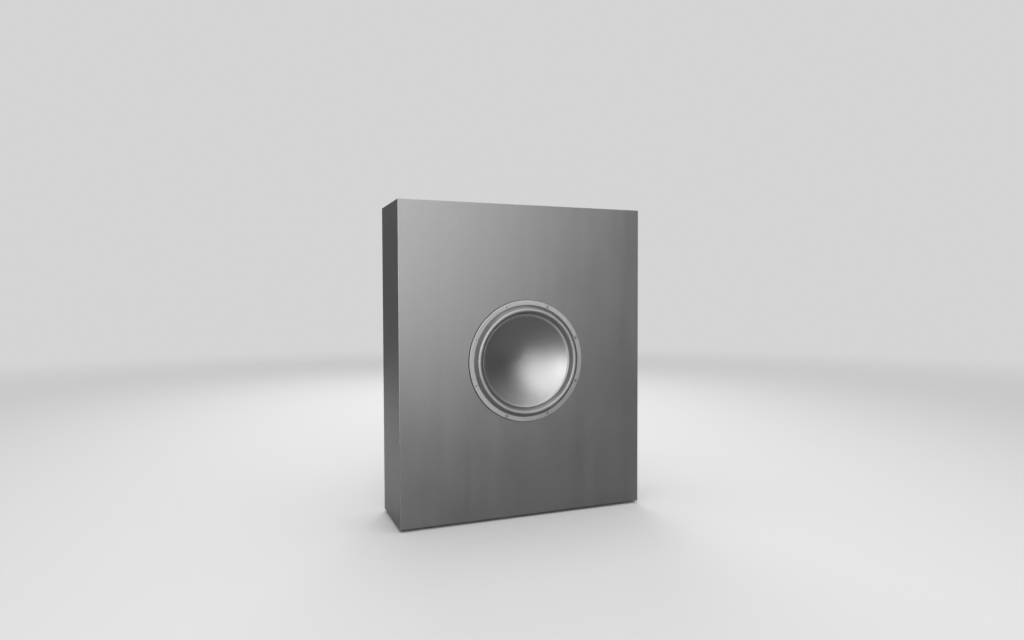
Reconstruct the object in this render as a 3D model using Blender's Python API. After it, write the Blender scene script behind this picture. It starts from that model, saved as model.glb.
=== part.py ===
"""Slim active subwoofer: a flat metal-clad cabinet with one dish-cone driver mid-face.

Frame: metres, +Z up, origin on the floor under the middle of the cabinet, front face
towards -Y. Sizes in the code are millimetres. Every named object is one piece as it
would come off on a bench. Objects hidden from render are Boolean operands.
"""

import math

import bmesh
import bpy
from mathutils import Matrix, Vector

MM = 0.001

# ---- driving dimensions, millimetres ------------------------------------------
WIDTH = 565.0  # cabinet, left to right
HEIGHT = 680.0  # cabinet face, bottom edge to top edge
DEPTH = 163.0  # cabinet, front face to rear face
FLOOR_GAP = 5.0  # shadow gap under the cabinet
EDGE_R = 1.5  # radius on the outer edges
GAP = 0.3  # clearance between pieces that rest on each other

FASCIA_T = 4.0  # aluminium front plate
SLEEVE_T = 1.5  # folded aluminium wrap
BAFFLE_T = 22.0  # front board
BOARD_T = 16.0  # other boards
BRACE_T = 18.0
BRACE_X = 150.0
WINDOW_R = 36.0  # half width and end radius of a brace window
WINDOW_STRAIGHT = 52.0  # half length of its straight sides
WINDOW_PITCH = 215.0

FLANGE_R = 132.6
FLANGE_IN_R = 122.4
FLANGE_FRONT = 4.8  # flange face, in front of the fascia
CUTOUT_R = 121.5
BOLT_CIRCLE_R = 127.0
BOLT_HOLE_R = 2.9
BOLTS = 8
SPOKES = 6
ROLL_R = 8.6  # half roll of the surround
ROLL_CENTRE_R = 111.75
SURROUND_T = 0.8
LIP_Z = 3.3  # mid-thickness of both surround lips
DISH_RIM_R = 101.8
DISH_EDGE_R = 97.5
DISH_CURVE_R = 170.0
DISH_T = 1.0
DISH_FRONT = 5.0
COIL_R = 26.0

AMP_X = 125.0  # half width of the amplifier plate
AMP_Z = 90.0  # its half height
AMP_MID_Z = 135.0
AMP_PLATE_T = 3.0
AMP_CORNER_R = 6.0
AMP_SCREW_INSET = 7.0
AMP_SCREW_HOLE_R = 2.3
FIN_PROUD = 9.0  # fins, in front of the amplifier plate

FOOT_X = 230.0
FOOT_Y = 42.0
FOOT_R = 16.0

# Segments round the turned parts
ROUND = 48
MEDIUM = 32
SMALL = 16

# ---- derived places -----------------------------------------------------------
HALF_WIDTH = WIDTH / 2
FRONT_Y = -DEPTH / 2
REAR_Y = DEPTH / 2
BAFFLE_Y = FRONT_Y + FASCIA_T + GAP  # front of the baffle and of the wrap
REAR_PANEL_Y = REAR_Y - BOARD_T  # inner face of the rear panel
INSIDE_Y0 = BAFFLE_Y + BAFFLE_T + GAP  # boards between baffle and rear panel
INSIDE_Y1 = REAR_PANEL_Y - GAP
BOARD_IN = SLEEVE_T + GAP  # boards start this far in from the outside
PAST_BOARD = BOARD_IN + BOARD_T  # inner faces of the outer boards

BOLT_ANGLES = [2 * math.pi * (i + 0.5) / BOLTS for i in range(BOLTS)]
FOOT_PLACES = [(x, y) for y in (-FOOT_Y, FOOT_Y) for x in (-FOOT_X, FOOT_X)]
SCREW_X = AMP_X - AMP_SCREW_INSET
SCREW_Y = AMP_Z - AMP_SCREW_INSET
AMP_SCREW_PLACES = [(x, y) for y in (SCREW_Y, -SCREW_Y) for x in (-SCREW_X, SCREW_X)]

# Turns that lay a body drawn along Z another way
FACE_ON = Matrix.Rotation(math.radians(90), 4, "X")  # Z to the front, -Y
ACROSS = Matrix(((0, 0, 1, 0), (1, 0, 0, 0), (0, 1, 0, 0), (0, 0, 0, 1)))  # X, Y, Z to Y, Z, X
SWAP_YZ = Matrix(((1, 0, 0, 0), (0, 0, 1, 0), (0, 1, 0, 0), (0, 0, 0, 1)))


# ---- bodies: bmeshes in millimetres -------------------------------------------
def box_body(low, high):
    body = bmesh.new()
    size = [b - a for a, b in zip(low, high)]
    middle = [(a + b) / 2 for a, b in zip(low, high)]
    matrix = Matrix.Translation(middle) @ Matrix.Diagonal((*size, 1.0))
    bmesh.ops.create_cube(body, size=1.0, matrix=matrix)
    return body


def slab_body(half_x, half_y, bottom, top, x=0.0, y=0.0):
    """A box centred on (x, y)."""
    return box_body((x - half_x, y - half_y, bottom), (x + half_x, y + half_y, top))


def prism_body(outline, bottom, top):
    """A flat outline of (x, y) points pushed from bottom to top."""
    body = bmesh.new()
    face = body.faces.new([body.verts.new((x, y, bottom)) for x, y in outline])
    made = bmesh.ops.extrude_face_region(body, geom=[face])
    verts = [item for item in made["geom"] if isinstance(item, bmesh.types.BMVert)]
    bmesh.ops.translate(body, vec=(0, 0, top - bottom), verts=verts)
    return body


def arc(radius, start, sweep, steps, x=0.0, y=0.0):
    """Points at both ends of the arc and at every step between."""
    angles = [start + sweep * i / steps for i in range(steps + 1)]
    return [(x + radius * math.cos(a), y + radius * math.sin(a)) for a in angles]


def rod_body(radius, segments, bottom, top, x=0.0, y=0.0, turn=0.0):
    return prism_body(arc(radius, turn, 2 * math.pi, segments, x, y)[:-1], bottom, top)


def turned_body(profile, segments):
    """A closed loop of (radius, height) spun about Z; points on the axis become poles."""
    body = bmesh.new()
    verts = [body.verts.new((r, 0, z)) for r, z in profile]
    edges = []
    for a, b in zip(verts, verts[1:] + verts[:1]):
        if a.co.x > 1e-9 or b.co.x > 1e-9:
            edges.append(body.edges.new((a, b)))
    bmesh.ops.spin(
        body, geom=verts + edges, axis=(0, 0, 1), cent=(0, 0, 0),
        angle=2 * math.pi, steps=segments, use_merge=True,
    )
    bmesh.ops.remove_doubles(body, verts=body.verts[:], dist=1e-4)
    return body


def moved(body, matrix):
    bmesh.ops.transform(body, matrix=matrix, verts=body.verts[:])
    return body


def merged(bodies):
    """One bmesh that holds several bodies."""
    out = bmesh.new()
    for body in bodies:
        mesh = bpy.data.meshes.new("tmp")
        bmesh.ops.recalc_face_normals(body, faces=body.faces[:])
        body.to_mesh(mesh)
        body.free()
        out.from_mesh(mesh)
        bpy.data.meshes.remove(mesh)
    return out


def at_bolts(make):
    """A body from make() at each place on the bolt circle round Z."""
    return [
        moved(make(), Matrix.Translation((x, y, 0)))
        for x, y in (bolt_place(angle) for angle in BOLT_ANGLES)
    ]


def bolt_place(angle):
    return BOLT_CIRCLE_R * math.cos(angle), BOLT_CIRCLE_R * math.sin(angle)


# ---- objects ------------------------------------------------------------------
def clear_scene():
    for obj in list(bpy.data.objects):
        bpy.data.objects.remove(obj, do_unlink=True)


def link(obj, parent):
    obj.parent = parent
    bpy.context.scene.collection.objects.link(obj)
    return obj


def empty(name, location, rotation=(0, 0, 0), parent=None):
    obj = bpy.data.objects.new(name, None)
    obj.empty_display_size = 0.02
    obj.location = Vector(location) * MM
    obj.rotation_euler = rotation
    return link(obj, parent)


def add(name, body, mat, parent, location=(0, 0, 0), smooth=False):
    """A mesh object from a body that was drawn about the object's own origin."""
    bmesh.ops.recalc_face_normals(body, faces=body.faces[:])
    bmesh.ops.scale(body, vec=(MM, MM, MM), verts=body.verts[:])
    mesh = bpy.data.meshes.new(name)
    body.to_mesh(mesh)
    body.free()
    if mat is not None:
        mesh.materials.append(mat)
    if smooth:
        mesh.shade_smooth()
        mesh.set_sharp_from_angle(angle=math.radians(35))
    obj = bpy.data.objects.new(name, mesh)
    obj.location = Vector(location) * MM
    return link(obj, parent)


def block(name, low, high, mat, parent, bevel=0.0, edges=lambda edge: True):
    """A box with its origin at its middle; bevel rounds the edges that edges() picks."""
    middle = [(a + b) / 2 for a, b in zip(low, high)]
    body = box_body(
        [a - m for a, m in zip(low, middle)],
        [b - m for b, m in zip(high, middle)],
    )
    if bevel:
        picked = [edge for edge in body.edges if edges(edge)]
        bmesh.ops.bevel(
            body, geom=picked, offset=bevel, segments=2, profile=0.5, affect="EDGES"
        )
    return add(name, body, mat, parent, middle)


def turned(name, profile, mat, parent, segments=ROUND, location=(0, 0, 0)):
    return add(name, turned_body(profile, segments), mat, parent, location, smooth=True)


def boolean(obj, bodies, operation, label):
    """A Boolean modifier; its operand, drawn in obj's frame, stays as a hidden helper."""
    helper = add(f"{obj.name}_{label}", merged(bodies), None, obj.parent, obj.location / MM)
    helper.hide_render = True
    helper.display_type = "WIRE"
    mod = obj.modifiers.new(label, "BOOLEAN")
    mod.operation = operation
    mod.solver = "EXACT"
    mod.object = helper


def cut(obj, *bodies, label="cut"):
    boolean(obj, bodies, "DIFFERENCE", label)


def join(obj, *bodies, label):
    boolean(obj, bodies, "UNION", label)


def tube(name, points, radius, mat, parent):
    """A wire or cable along a smooth curve, with closed ends."""
    curve = bpy.data.curves.new(name, "CURVE")
    curve.dimensions = "3D"
    curve.resolution_u = 3
    curve.bevel_depth = radius * MM
    curve.bevel_resolution = 1
    curve.use_fill_caps = True
    spline = curve.splines.new("BEZIER")
    spline.bezier_points.add(len(points) - 1)
    for point, place in zip(spline.bezier_points, points):
        point.co = Vector(place) * MM
        point.handle_left_type = "AUTO"
        point.handle_right_type = "AUTO"
    curve.materials.append(mat)
    return link(bpy.data.objects.new(name, curve), parent)


def material(name, colour, roughness, metallic=0.0):
    mat = bpy.data.materials.new(name)
    mat.use_nodes = True
    bsdf = mat.node_tree.nodes["Principled BSDF"]
    bsdf.inputs["Base Color"].default_value = (*colour, 1.0)
    bsdf.inputs["Roughness"].default_value = roughness
    bsdf.inputs["Metallic"].default_value = metallic
    mat.diffuse_color = (*colour, 1.0)
    return mat


clear_scene()

# ---- materials ----------------------------------------------------------------
satin_aluminium = material(
    "satin_aluminium", colour=(0.50, 0.50, 0.50), roughness=0.42, metallic=1.0)
cast_aluminium = material(
    "cast_aluminium", colour=(0.55, 0.55, 0.55), roughness=0.38, metallic=1.0)
cone_metal = material("cone_metal", colour=(0.62, 0.62, 0.62), roughness=0.33, metallic=1.0)
board_wood = material("board_wood", colour=(0.45, 0.33, 0.22), roughness=0.85)
painted_board = material("painted_board", colour=(0.045, 0.045, 0.045), roughness=0.6)
surround_rubber = material("surround_rubber", colour=(0.26, 0.26, 0.26), roughness=0.42)
foot_rubber = material("foot_rubber", colour=(0.03, 0.03, 0.03), roughness=0.6)
foam = material("foam", colour=(0.03, 0.03, 0.03), roughness=0.95)
fibre = material("fibre", colour=(0.82, 0.81, 0.78), roughness=0.95)
spider_cloth = material("spider_cloth", colour=(0.55, 0.42, 0.16), roughness=0.9)
black_metal = material("black_metal", colour=(0.03, 0.03, 0.03), roughness=0.45, metallic=1.0)
plated_steel = material("plated_steel", colour=(0.6, 0.6, 0.6), roughness=0.3, metallic=1.0)
ferrite = material("ferrite", colour=(0.06, 0.06, 0.065), roughness=0.7)
copper = material("copper", colour=(0.72, 0.35, 0.18), roughness=0.35, metallic=1.0)
black_plastic = material("black_plastic", colour=(0.02, 0.02, 0.02), roughness=0.5)
circuit_green = material("circuit_green", colour=(0.03, 0.18, 0.08), roughness=0.5)
led_lens = material("led_lens", colour=(0.1, 0.5, 0.15), roughness=0.1)

# ---- cabinet: its frame is on the middle of its bottom edge --------------------
cabinet = empty("cabinet", (0, 0, FLOOR_GAP))


def driver_opening(reach):
    """Cutter for the driver's cutout and bolt holes, reaching this far each way along Y."""
    holes = at_bolts(lambda: rod_body(BOLT_HOLE_R, 8, -reach, reach))
    return moved(merged([rod_body(CUTOUT_R, ROUND, -reach, reach), *holes]), FACE_ON)


def front_fascia():
    """Front plate with its four outer front edges rounded."""
    fascia = block(
        "front_fascia", (-HALF_WIDTH, FRONT_Y, 0), (HALF_WIDTH, FRONT_Y + FASCIA_T, HEIGHT),
        satin_aluminium, cabinet, bevel=EDGE_R,
        edges=lambda edge: all(v.co.y < 0 for v in edge.verts),
    )
    cut(fascia, driver_opening(20))


def outer_sleeve():
    """One folded sheet round the four sides, open front and back, with holes for the feet."""
    sleeve = block(
        "outer_sleeve", (-HALF_WIDTH, BAFFLE_Y, 0), (HALF_WIDTH, REAR_Y, HEIGHT),
        satin_aluminium, cabinet, bevel=EDGE_R,
        edges=lambda edge: abs(edge.verts[0].co.y - edge.verts[1].co.y) > 1,
    )
    half_x = HALF_WIDTH - SLEEVE_T
    half_z = HEIGHT / 2 - SLEEVE_T
    cut(sleeve, box_body((-half_x, -200, -half_z), (half_x, 200, half_z)), label="hollow")
    middle_y = (BAFFLE_Y + REAR_Y) / 2
    holes = [
        rod_body(6, 10, -HEIGHT / 2 - 10, 1 - half_z, x, y - middle_y)
        if False else
        rod_body(6, 10, -HEIGHT / 2 - 10, -HEIGHT / 2 + 1 + SLEEVE_T, x, y - middle_y)
        for x, y in FOOT_PLACES
    ] if False else [
        rod_body(6, 10, -HEIGHT / 2 - 10, 1 - half_z, x, y - middle_y) for x, y in FOOT_PLACES
    ]
    cut(sleeve, *holes, label="foot_holes")


def full_board(name, y0, y1, mat):
    """A board that fills the wrap's width and height."""
    low = (-HALF_WIDTH + BOARD_IN, y0, BOARD_IN)
    high = (HALF_WIDTH - BOARD_IN, y1, HEIGHT - BOARD_IN)
    return block(name, low, high, mat, cabinet)


def rear_panel():
    """Rear board with the amplifier's opening and pilot holes for its screws."""
    rear = full_board("rear_panel", REAR_PANEL_Y, REAR_Y, painted_board)
    amp_z = AMP_MID_Z - FLOOR_GAP - HEIGHT / 2  # amplifier's middle in the board's frame
    pilots = [
        moved(
            rod_body(AMP_SCREW_HOLE_R, 8, -20, 20),
            Matrix.Translation((x, 0, amp_z - y)) @ FACE_ON,
        )
        for x, y in AMP_SCREW_PLACES
    ]
    cut(rear, box_body((-112, -20, amp_z - 77), (112, 20, amp_z + 77)), *pilots)


def upright(name, xs, inset):
    """A board on edge between two x places, this far in from the bottom and top."""
    low = (min(xs), INSIDE_Y0, inset)
    high = (max(xs), INSIDE_Y1, HEIGHT - inset)
    return block(name, low, high, board_wood, cabinet)


def brace(name, middle_x):
    """Upright with three stadium windows that let the air pass."""
    xs = (middle_x - BRACE_T / 2, middle_x + BRACE_T / 2)
    obj = upright(name, xs, PAST_BOARD + GAP)
    outline = (
        arc(WINDOW_R, 0, math.pi, 8, y=WINDOW_STRAIGHT)
        + arc(WINDOW_R, math.pi, math.pi, 8, y=-WINDOW_STRAIGHT)
    )
    windows = [
        moved(prism_body(outline, -20, 20), Matrix.Translation((0, 0, z)) @ ACROSS)
        for z in (-WINDOW_PITCH, 0, WINDOW_PITCH)
    ]
    cut(obj, *windows, label="windows")


def level_board(name, bottom_z):
    """Top or bottom board, fitted between the side boards."""
    half_x = HALF_WIDTH - PAST_BOARD - GAP
    low = (-half_x, INSIDE_Y0, bottom_z)
    high = (half_x, INSIDE_Y1, bottom_z + BOARD_T)
    return block(name, low, high, board_wood, cabinet)


def bottom_board():
    bottom = level_board("bottom_board", BOARD_IN)
    middle_y = (INSIDE_Y0 + INSIDE_Y1) / 2
    cut(bottom, *[rod_body(4.4, 10, -20, 20, x, y - middle_y) for x, y in FOOT_PLACES])


def feet():
    """Rubber-soled levelling feet, each on a stud."""
    top = FLOOR_GAP - GAP
    profile = [
        (0, 0), (FOOT_R - 1, 0), (FOOT_R, 1), (FOOT_R, top - 0.6), (FOOT_R - 0.6, top),
        (4.0, top), (4.0, 35.5), (3.5, 36), (0, 36),
    ]
    for i, place in enumerate(FOOT_PLACES, 1):
        turned(f"foot_{i}", profile, foot_rubber, None, SMALL, (*place, 0))


front_fascia()
outer_sleeve()
cut(full_board("baffle_board", BAFFLE_Y, BAFFLE_Y + BAFFLE_T, board_wood), driver_opening(40))
rear_panel()
for tag, side in (("left", -1), ("right", 1)):
    side_xs = (side * (HALF_WIDTH - BOARD_IN), side * (HALF_WIDTH - PAST_BOARD))
    upright(f"side_board_{tag}", side_xs, BOARD_IN)
    brace(f"brace_{tag}", side * BRACE_X)
level_board("top_board", HEIGHT - PAST_BOARD)
bottom_board()
block("wadding_sheet", (-136, 42, 228), (136, INSIDE_Y1, 655), fibre, cabinet, bevel=8)
feet()

# ---- driver: local +Z points out of the front, Z = 0 is the fascia's front face,
# local +Y is up ----------------------------------------------------------------
driver = empty("driver_axis", (0, FRONT_Y, FLOOR_GAP + HEIGHT / 2), (math.radians(90), 0, 0))

FLANGE_PROFILE = [
    (FLANGE_IN_R, FLANGE_FRONT), (FLANGE_R - 0.8, FLANGE_FRONT),
    (FLANGE_R, FLANGE_FRONT - 0.8), (FLANGE_R, 1.3), (120.6, 1.3), (120.6, -16),
    (116.5, -16), (116.5, 2.6), (FLANGE_IN_R, 2.6),
]
SEAT_PROFILE = [  # ring that the spider and the motor sit on
    (76.5, -46), (76.5, -57), (64, -66), (44, -66), (44, -62),
    (60, -62), (66, -50), (74, -50), (74, -46),
]
COUNTERSINK_PROFILE = [
    (0, 6), (4.9, 6), (4.15, FLANGE_FRONT), (BOLT_HOLE_R, 3.1), (BOLT_HOLE_R, 0), (0, 0),
]
SCREW_PROFILE = [
    (0, 4.6), (3.75, 4.6), (3.75, 4.3), (2.45, 2.9), (2.45, -22), (1.2, -24), (0, -24),
]
LEAD_PATH = [  # share of the tab end's x, y, z
    (1, -27.4, -38), (1.1, -40, -34.5), (1.3, -58, -35.5), (1.35, -74, -40),
    (1.35, -80, -42.8),
]


def spoke(turn):
    """A sloping rib from the flange's skirt back to the seat."""
    start = Vector((118.0, 0, -12.0))
    along = Vector((72.0, 0, -56.0)) - start
    tilt = along.to_track_quat("X", "Z").to_matrix().to_4x4()
    rib = box_body((0, -8, -2.5), (along.length, 8, 2.5))
    long_edges = [e for e in rib.edges if abs(e.verts[0].co.x - e.verts[1].co.x) > 1]
    bmesh.ops.bevel(rib, geom=long_edges, offset=1.2, segments=1, affect="EDGES")
    return moved(rib, Matrix.Rotation(turn, 4, "Z") @ Matrix.Translation(start) @ tilt)


def driver_basket():
    flange = turned_body(FLANGE_PROFILE, ROUND)
    basket = add("driver_basket", flange, cast_aluminium, driver, smooth=True)
    join(basket, *[spoke(2 * math.pi * i / SPOKES) for i in range(SPOKES)], label="spokes")
    join(basket, turned_body(SEAT_PROFILE, ROUND), label="seat")
    cut(basket, *at_bolts(lambda: turned_body(COUNTERSINK_PROFILE, 12)), label="screw_holes")


def driver_gasket():
    profile = [(121.9, GAP), (132.0, GAP), (132.0, 1.0), (121.9, 1.0)]
    gasket = turned("driver_gasket", profile, foam, driver)
    cut(gasket, *at_bolts(lambda: rod_body(3.2, 8, -3, 5)))


def offset_curve(points, distance):
    """The polyline pushed sideways by distance, to its left."""
    out = []
    for i, (x, y) in enumerate(points):
        before = Vector(points[max(i - 1, 0)])
        after = Vector(points[min(i + 1, len(points) - 1)])
        along = (after - before).normalized()
        out.append((x - along.y * distance, y + along.x * distance))
    return out


def surround():
    """Inner lip behind the dish's rim, half roll, outer lip on the basket's ledge."""
    middle = [
        (97.8, LIP_Z),
        (ROLL_CENTRE_R - ROLL_R - 0.4, LIP_Z),
        *arc(ROLL_R, math.pi, -math.pi, 6, ROLL_CENTRE_R, LIP_Z),
        (FLANGE_IN_R - GAP, LIP_Z),
    ]
    front = offset_curve(middle, SURROUND_T / 2)
    back = offset_curve(middle, -SURROUND_T / 2)
    turned("surround", front + back[::-1], surround_rubber, driver)


def bowl_z(r, curve_r):
    """Height at radius r of a sphere about the dish's centre of curvature."""
    centre_z = DISH_FRONT + math.sqrt(DISH_CURVE_R**2 - DISH_EDGE_R**2)
    return centre_z - math.sqrt(curve_r**2 - r**2)


def cone_dish():
    """A flat rim round a spherical bowl."""
    steps = 4
    radii = [DISH_EDGE_R * i / steps for i in range(steps + 1)]
    front = [(r, bowl_z(r, DISH_CURVE_R)) for r in radii]
    rim = [(DISH_RIM_R, DISH_FRONT), (DISH_RIM_R, DISH_FRONT - DISH_T)]
    back = [(r, bowl_z(r, DISH_CURVE_R + DISH_T)) for r in radii[:-1]]
    back.append((DISH_EDGE_R - 0.3, DISH_FRONT - DISH_T))
    turned("cone_dish", front + rim + back[::-1], cone_metal, driver)


def tube_profile(inner, outer, top, bottom):
    return [(inner, top), (outer, top), (outer, bottom), (inner, bottom)]


def coil():
    top = bowl_z(COIL_R, DISH_CURVE_R + DISH_T) - 0.4
    former = tube_profile(COIL_R - 0.4, COIL_R + 0.1, top, -88)
    turned("coil_former", former, spider_cloth, driver, MEDIUM)
    winding = tube_profile(COIL_R + 0.4, COIL_R + 2.4, -56, -86)
    turned("voice_coil", winding, copper, driver, MEDIUM)


def spider():
    """A corrugated disc from the former to the basket's seat."""
    flat = -49.3
    waves = [(37 + 6.0 * i, flat + (1.7 if i % 2 == 0 else -1.1)) for i in range(5)]
    middle = [(26.4, flat), (32, flat), *waves, (67.5, flat), (73.6, flat)]
    front = [(r, z + 0.4) for r, z in middle]
    back = [(r, z - 0.3) for r, z in middle[::-1]]
    turned("spider", front + back, spider_cloth, driver, MEDIUM)


def motor():
    """Top plate, chamfered magnet and the yoke with its hollow pole."""
    top_plate = tube_profile(29.2, 62, -66.3, -76.3)
    magnet = [
        (36, -76.6), (66, -76.6), (67, -77.6), (67, -103.6), (66, -104.6), (36, -104.6),
    ]
    yoke = [
        (8, -63), (25, -63), (25, -104.9), (62, -104.9), (62, -114), (61, -114.9),
        (8, -114.9),
    ]
    turned("top_plate", top_plate, plated_steel, driver, MEDIUM)
    turned("magnet_ring", magnet, ferrite, driver, MEDIUM)
    turned("pole_yoke", yoke, plated_steel, driver, MEDIUM)


def terminals():
    """Block on the seat's lower side with two tabs pointing down, and the lead wires."""
    terminal = add("terminal_block", slab_body(13, 2.9, -60, -44, y=-80.1), black_plastic, driver)
    tabs = [slab_body(2.5, 5, -54, -53.2, x, -87) for x in (-6.5, 6.5)]
    join(terminal, *tabs, label="tabs")
    for tag, start_x in (("a", -5.5), ("b", 5.5)):
        path = [(start_x * share, y, z) for share, y, z in LEAD_PATH]
        tube(f"lead_wire_{tag}", path, 0.9, copper, driver)


def driver_screws():
    """Countersunk screws with hexagon sockets."""
    for i, angle in enumerate(BOLT_ANGLES, 1):
        place = (*bolt_place(angle), 0)
        screw = turned(f"driver_screw_{i}", SCREW_PROFILE, plated_steel, driver, 12, place)
        cut(screw, rod_body(1.75, 6, 2.6, 8, turn=angle), label="socket")


driver_basket()
driver_gasket()
surround()
cone_dish()
coil()
spider()
motor()
terminals()
driver_screws()

# ---- amplifier: local +Z points out of the back, Z = 0 is the plate's outer face,
# local +Y is down --------------------------------------------------------------
amp = empty("amp_axis", (0, REAR_Y + GAP + AMP_PLATE_T, AMP_MID_Z), (math.radians(-90), 0, 0))


def on_plate(x, height):
    """(x, y) on the plate for a world x and a height above the floor."""
    return x, AMP_MID_Z - height


CONTROL_HEIGHT = 138
VOLUME = on_plate(-80, CONTROL_HEIGHT)
CROSSOVER = on_plate(-44, CONTROL_HEIGHT)
PHASE = on_plate(-8, CONTROL_HEIGHT)
LED = on_plate(18, CONTROL_HEIGHT)
RCA = on_plate(-66, 88)
INLET = on_plate(80, 90)
POWER = on_plate(80, 141)
HEAT_SINK = on_plate(0, 190)

RCA_X = 9.0  # each socket from the middle of its block
INLET_HALF = (13.1, 22.1)  # half width and half height of the body behind the plate
POWER_HALF = (6.7, 9.8)
FUSE_HALF = (10.7, 4.3)
FUSE_Y = -12.5  # middle of the drawer, from the inlet's middle
BEHIND = -3.4  # outer face of the parts mounted behind the plate

POT_PROFILE = [
    (3.15, 0.2), (3.5, 0.2), (3.5, BEHIND), (8.2, BEHIND), (8.2, -13.4), (3.15, -13.4),
]
SHAFT_PROFILE = [(0, -12.5), (2.95, -12.5), (2.95, 6.9), (0, 6.9)]
KNOB_PROFILE = [
    (0, 8.7), (8.6, 8.7), (9.4, 7.9), (10.2, 0.7), (3.1, 0.7), (3.1, 7.2), (0, 7.2),
]
TRANSFORMER_PROFILE = [(13, -54.9), (32, -54.9), (36, -51), (36, -29), (32, -25), (13, -25)]
LED_PROFILE = [(0, -9), (1.5, -9), (1.5, 0.8), (1.0, 1.5), (0, 1.7)]
AMP_SCREW_PROFILE = [
    (0, 2.5), (2.7, 2.5), (3.8, 1.5), (3.8, GAP), (1.9, GAP), (1.9, -14), (0, -16),
]
INLET_RECESS = [  # x, y
    (-12.2, 0), (12.2, 0), (12.2, 12), (8.2, 16.6), (-8.2, 16.6), (-12.2, 12),
]
ROCKER_SIDE = [  # y, z from the pivot
    (-7.6, 4.2), (-7.6, 0.5), (-4.5, -5.0), (4.5, -5.0), (7.6, 0.5), (7.6, 4.2), (0, 2.9),
]
CABLE_PATH = [  # world x, y, z: amplifier cover to driver terminals
    (30, 52, 211), (28, 46, 224), (14, 20, 236), (2, -12, 239), (0, -27.5, 246),
    (0, -27.5, 251),
]


def amp_plate():
    """Plate with rounded corners and an opening for each control and socket."""
    outline = []
    for i, (sx, sy) in enumerate(((1, 1), (-1, 1), (-1, -1), (1, -1))):
        corner = (sx * (AMP_X - AMP_CORNER_R), sy * (AMP_Z - AMP_CORNER_R))
        outline += arc(AMP_CORNER_R, math.pi / 2 * i, math.pi / 2, 4, *corner)
    plate = add("amp_plate", prism_body(outline, -AMP_PLATE_T, 0), black_metal, amp)
    round_holes = [  # radius, segments, x, y
        (3.8, 12, *VOLUME),
        (3.8, 12, *CROSSOVER),
        (1.85, 8, *LED),
        (4.6, 12, RCA[0] - RCA_X, RCA[1]),
        (4.6, 12, RCA[0] + RCA_X, RCA[1]),
    ]
    round_holes += [(AMP_SCREW_HOLE_R, 8, *place) for place in AMP_SCREW_PLACES]
    square_holes = [  # half x, half y, x, y
        (4.2, 1.9, *PHASE),
        (INLET_HALF[0] + GAP, INLET_HALF[1] + GAP, *INLET),
        (POWER_HALF[0] + GAP, POWER_HALF[1] + GAP, *POWER),
    ]
    holes = [rod_body(r, segments, -8, 5, x, y) for r, segments, x, y in round_holes]
    holes += [slab_body(half_x, half_y, -8, 5, x, y) for half_x, half_y, x, y in square_holes]
    cut(plate, *holes, label="holes")


def knob_control(tag, place):
    """Pot, shaft and knob; the knob's face has a slot in its upper half."""
    axis = empty(f"{tag}_axis", (*place, 0), parent=amp)
    turned(f"{tag}_pot", POT_PROFILE, plated_steel, axis, SMALL)
    turned(f"{tag}_shaft", SHAFT_PROFILE, plated_steel, axis, SMALL)
    knob = turned(f"{tag}_knob", KNOB_PROFILE, black_plastic, axis, 20)
    cut(knob, slab_body(0.5, 4.5, 8.2, 10, y=-7.5), label="pointer")


def heat_sink():
    """One comb section, drawn across the plate and pushed up and down it."""
    fins = 13
    fin_t = 2.4
    base_z = 3.4
    half_x = 100.0
    pitch = 2 * half_x / fins
    comb = [(-half_x, GAP), (half_x, GAP)]
    for i in range(fins):
        x = half_x - i * pitch
        comb += [(x, FIN_PROUD), (x - fin_t, FIN_PROUD), (x - fin_t, base_z)]
        if i < fins - 1:
            comb.append((x - pitch, base_z))
    comb.append((-half_x, base_z))
    placing = Matrix.Translation((*HEAT_SINK, 0)) @ SWAP_YZ
    add("heat_sink", moved(prism_body(comb, -26, 26), placing), black_metal, amp)


def amp_cover():
    """A box behind the plate, open towards it."""
    half_x, half_y, inner_end, wall = 110, 75, -56.8, 1.5
    body = slab_body(half_x, half_y, inner_end, -AMP_PLATE_T - GAP)
    cover = add("amp_cover", body, black_metal, amp)
    hollow = slab_body(half_x - wall, half_y - wall, inner_end + wall, 10)
    cut(cover, hollow, label="hollow")


def rca_block():
    rca = add("rca_block", slab_body(16, 6.5, -13.4, BEHIND), black_plastic, amp, (*RCA, 0))
    barrels = [rod_body(4.2, SMALL, -6, 8.4, x) for x in (-RCA_X, RCA_X)]
    join(rca, *barrels, label="barrels")
    cut(rca, *[rod_body(1.7, 10, -2, 12, x) for x in (-RCA_X, RCA_X)], label="sockets")


def mains_inlet():
    """Inlet with its pins in the lower half and a fuse drawer above them."""
    inlet = add("mains_inlet", slab_body(15.5, 26, GAP, 2.5), black_plastic, amp, (*INLET, 0))
    join(inlet, slab_body(*INLET_HALF, -22, 1.0), label="body")
    recess = moved(prism_body(INLET_RECESS, -14, 6), Matrix.Translation((0, 4.2, 0)))
    play = 0.4  # round the drawer
    slot = slab_body(FUSE_HALF[0] + play, FUSE_HALF[1] + play, -18, 6, y=FUSE_Y)
    cut(inlet, recess, slot, label="recess")
    pins = [slab_body(1, 2, -16, -2, x, y) for x, y in ((0, 15.4), (-7, 10), (7, 10))]
    join(inlet, *pins, label="pins")

    body = slab_body(*FUSE_HALF, -14.5, 3.3, y=FUSE_Y)
    drawer = add("fuse_drawer", body, black_plastic, amp, (*INLET, 0))
    cut(drawer, slab_body(7.5, 3.8, -11.5, -1.5, y=-10.8), label="fuse_bay")


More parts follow.
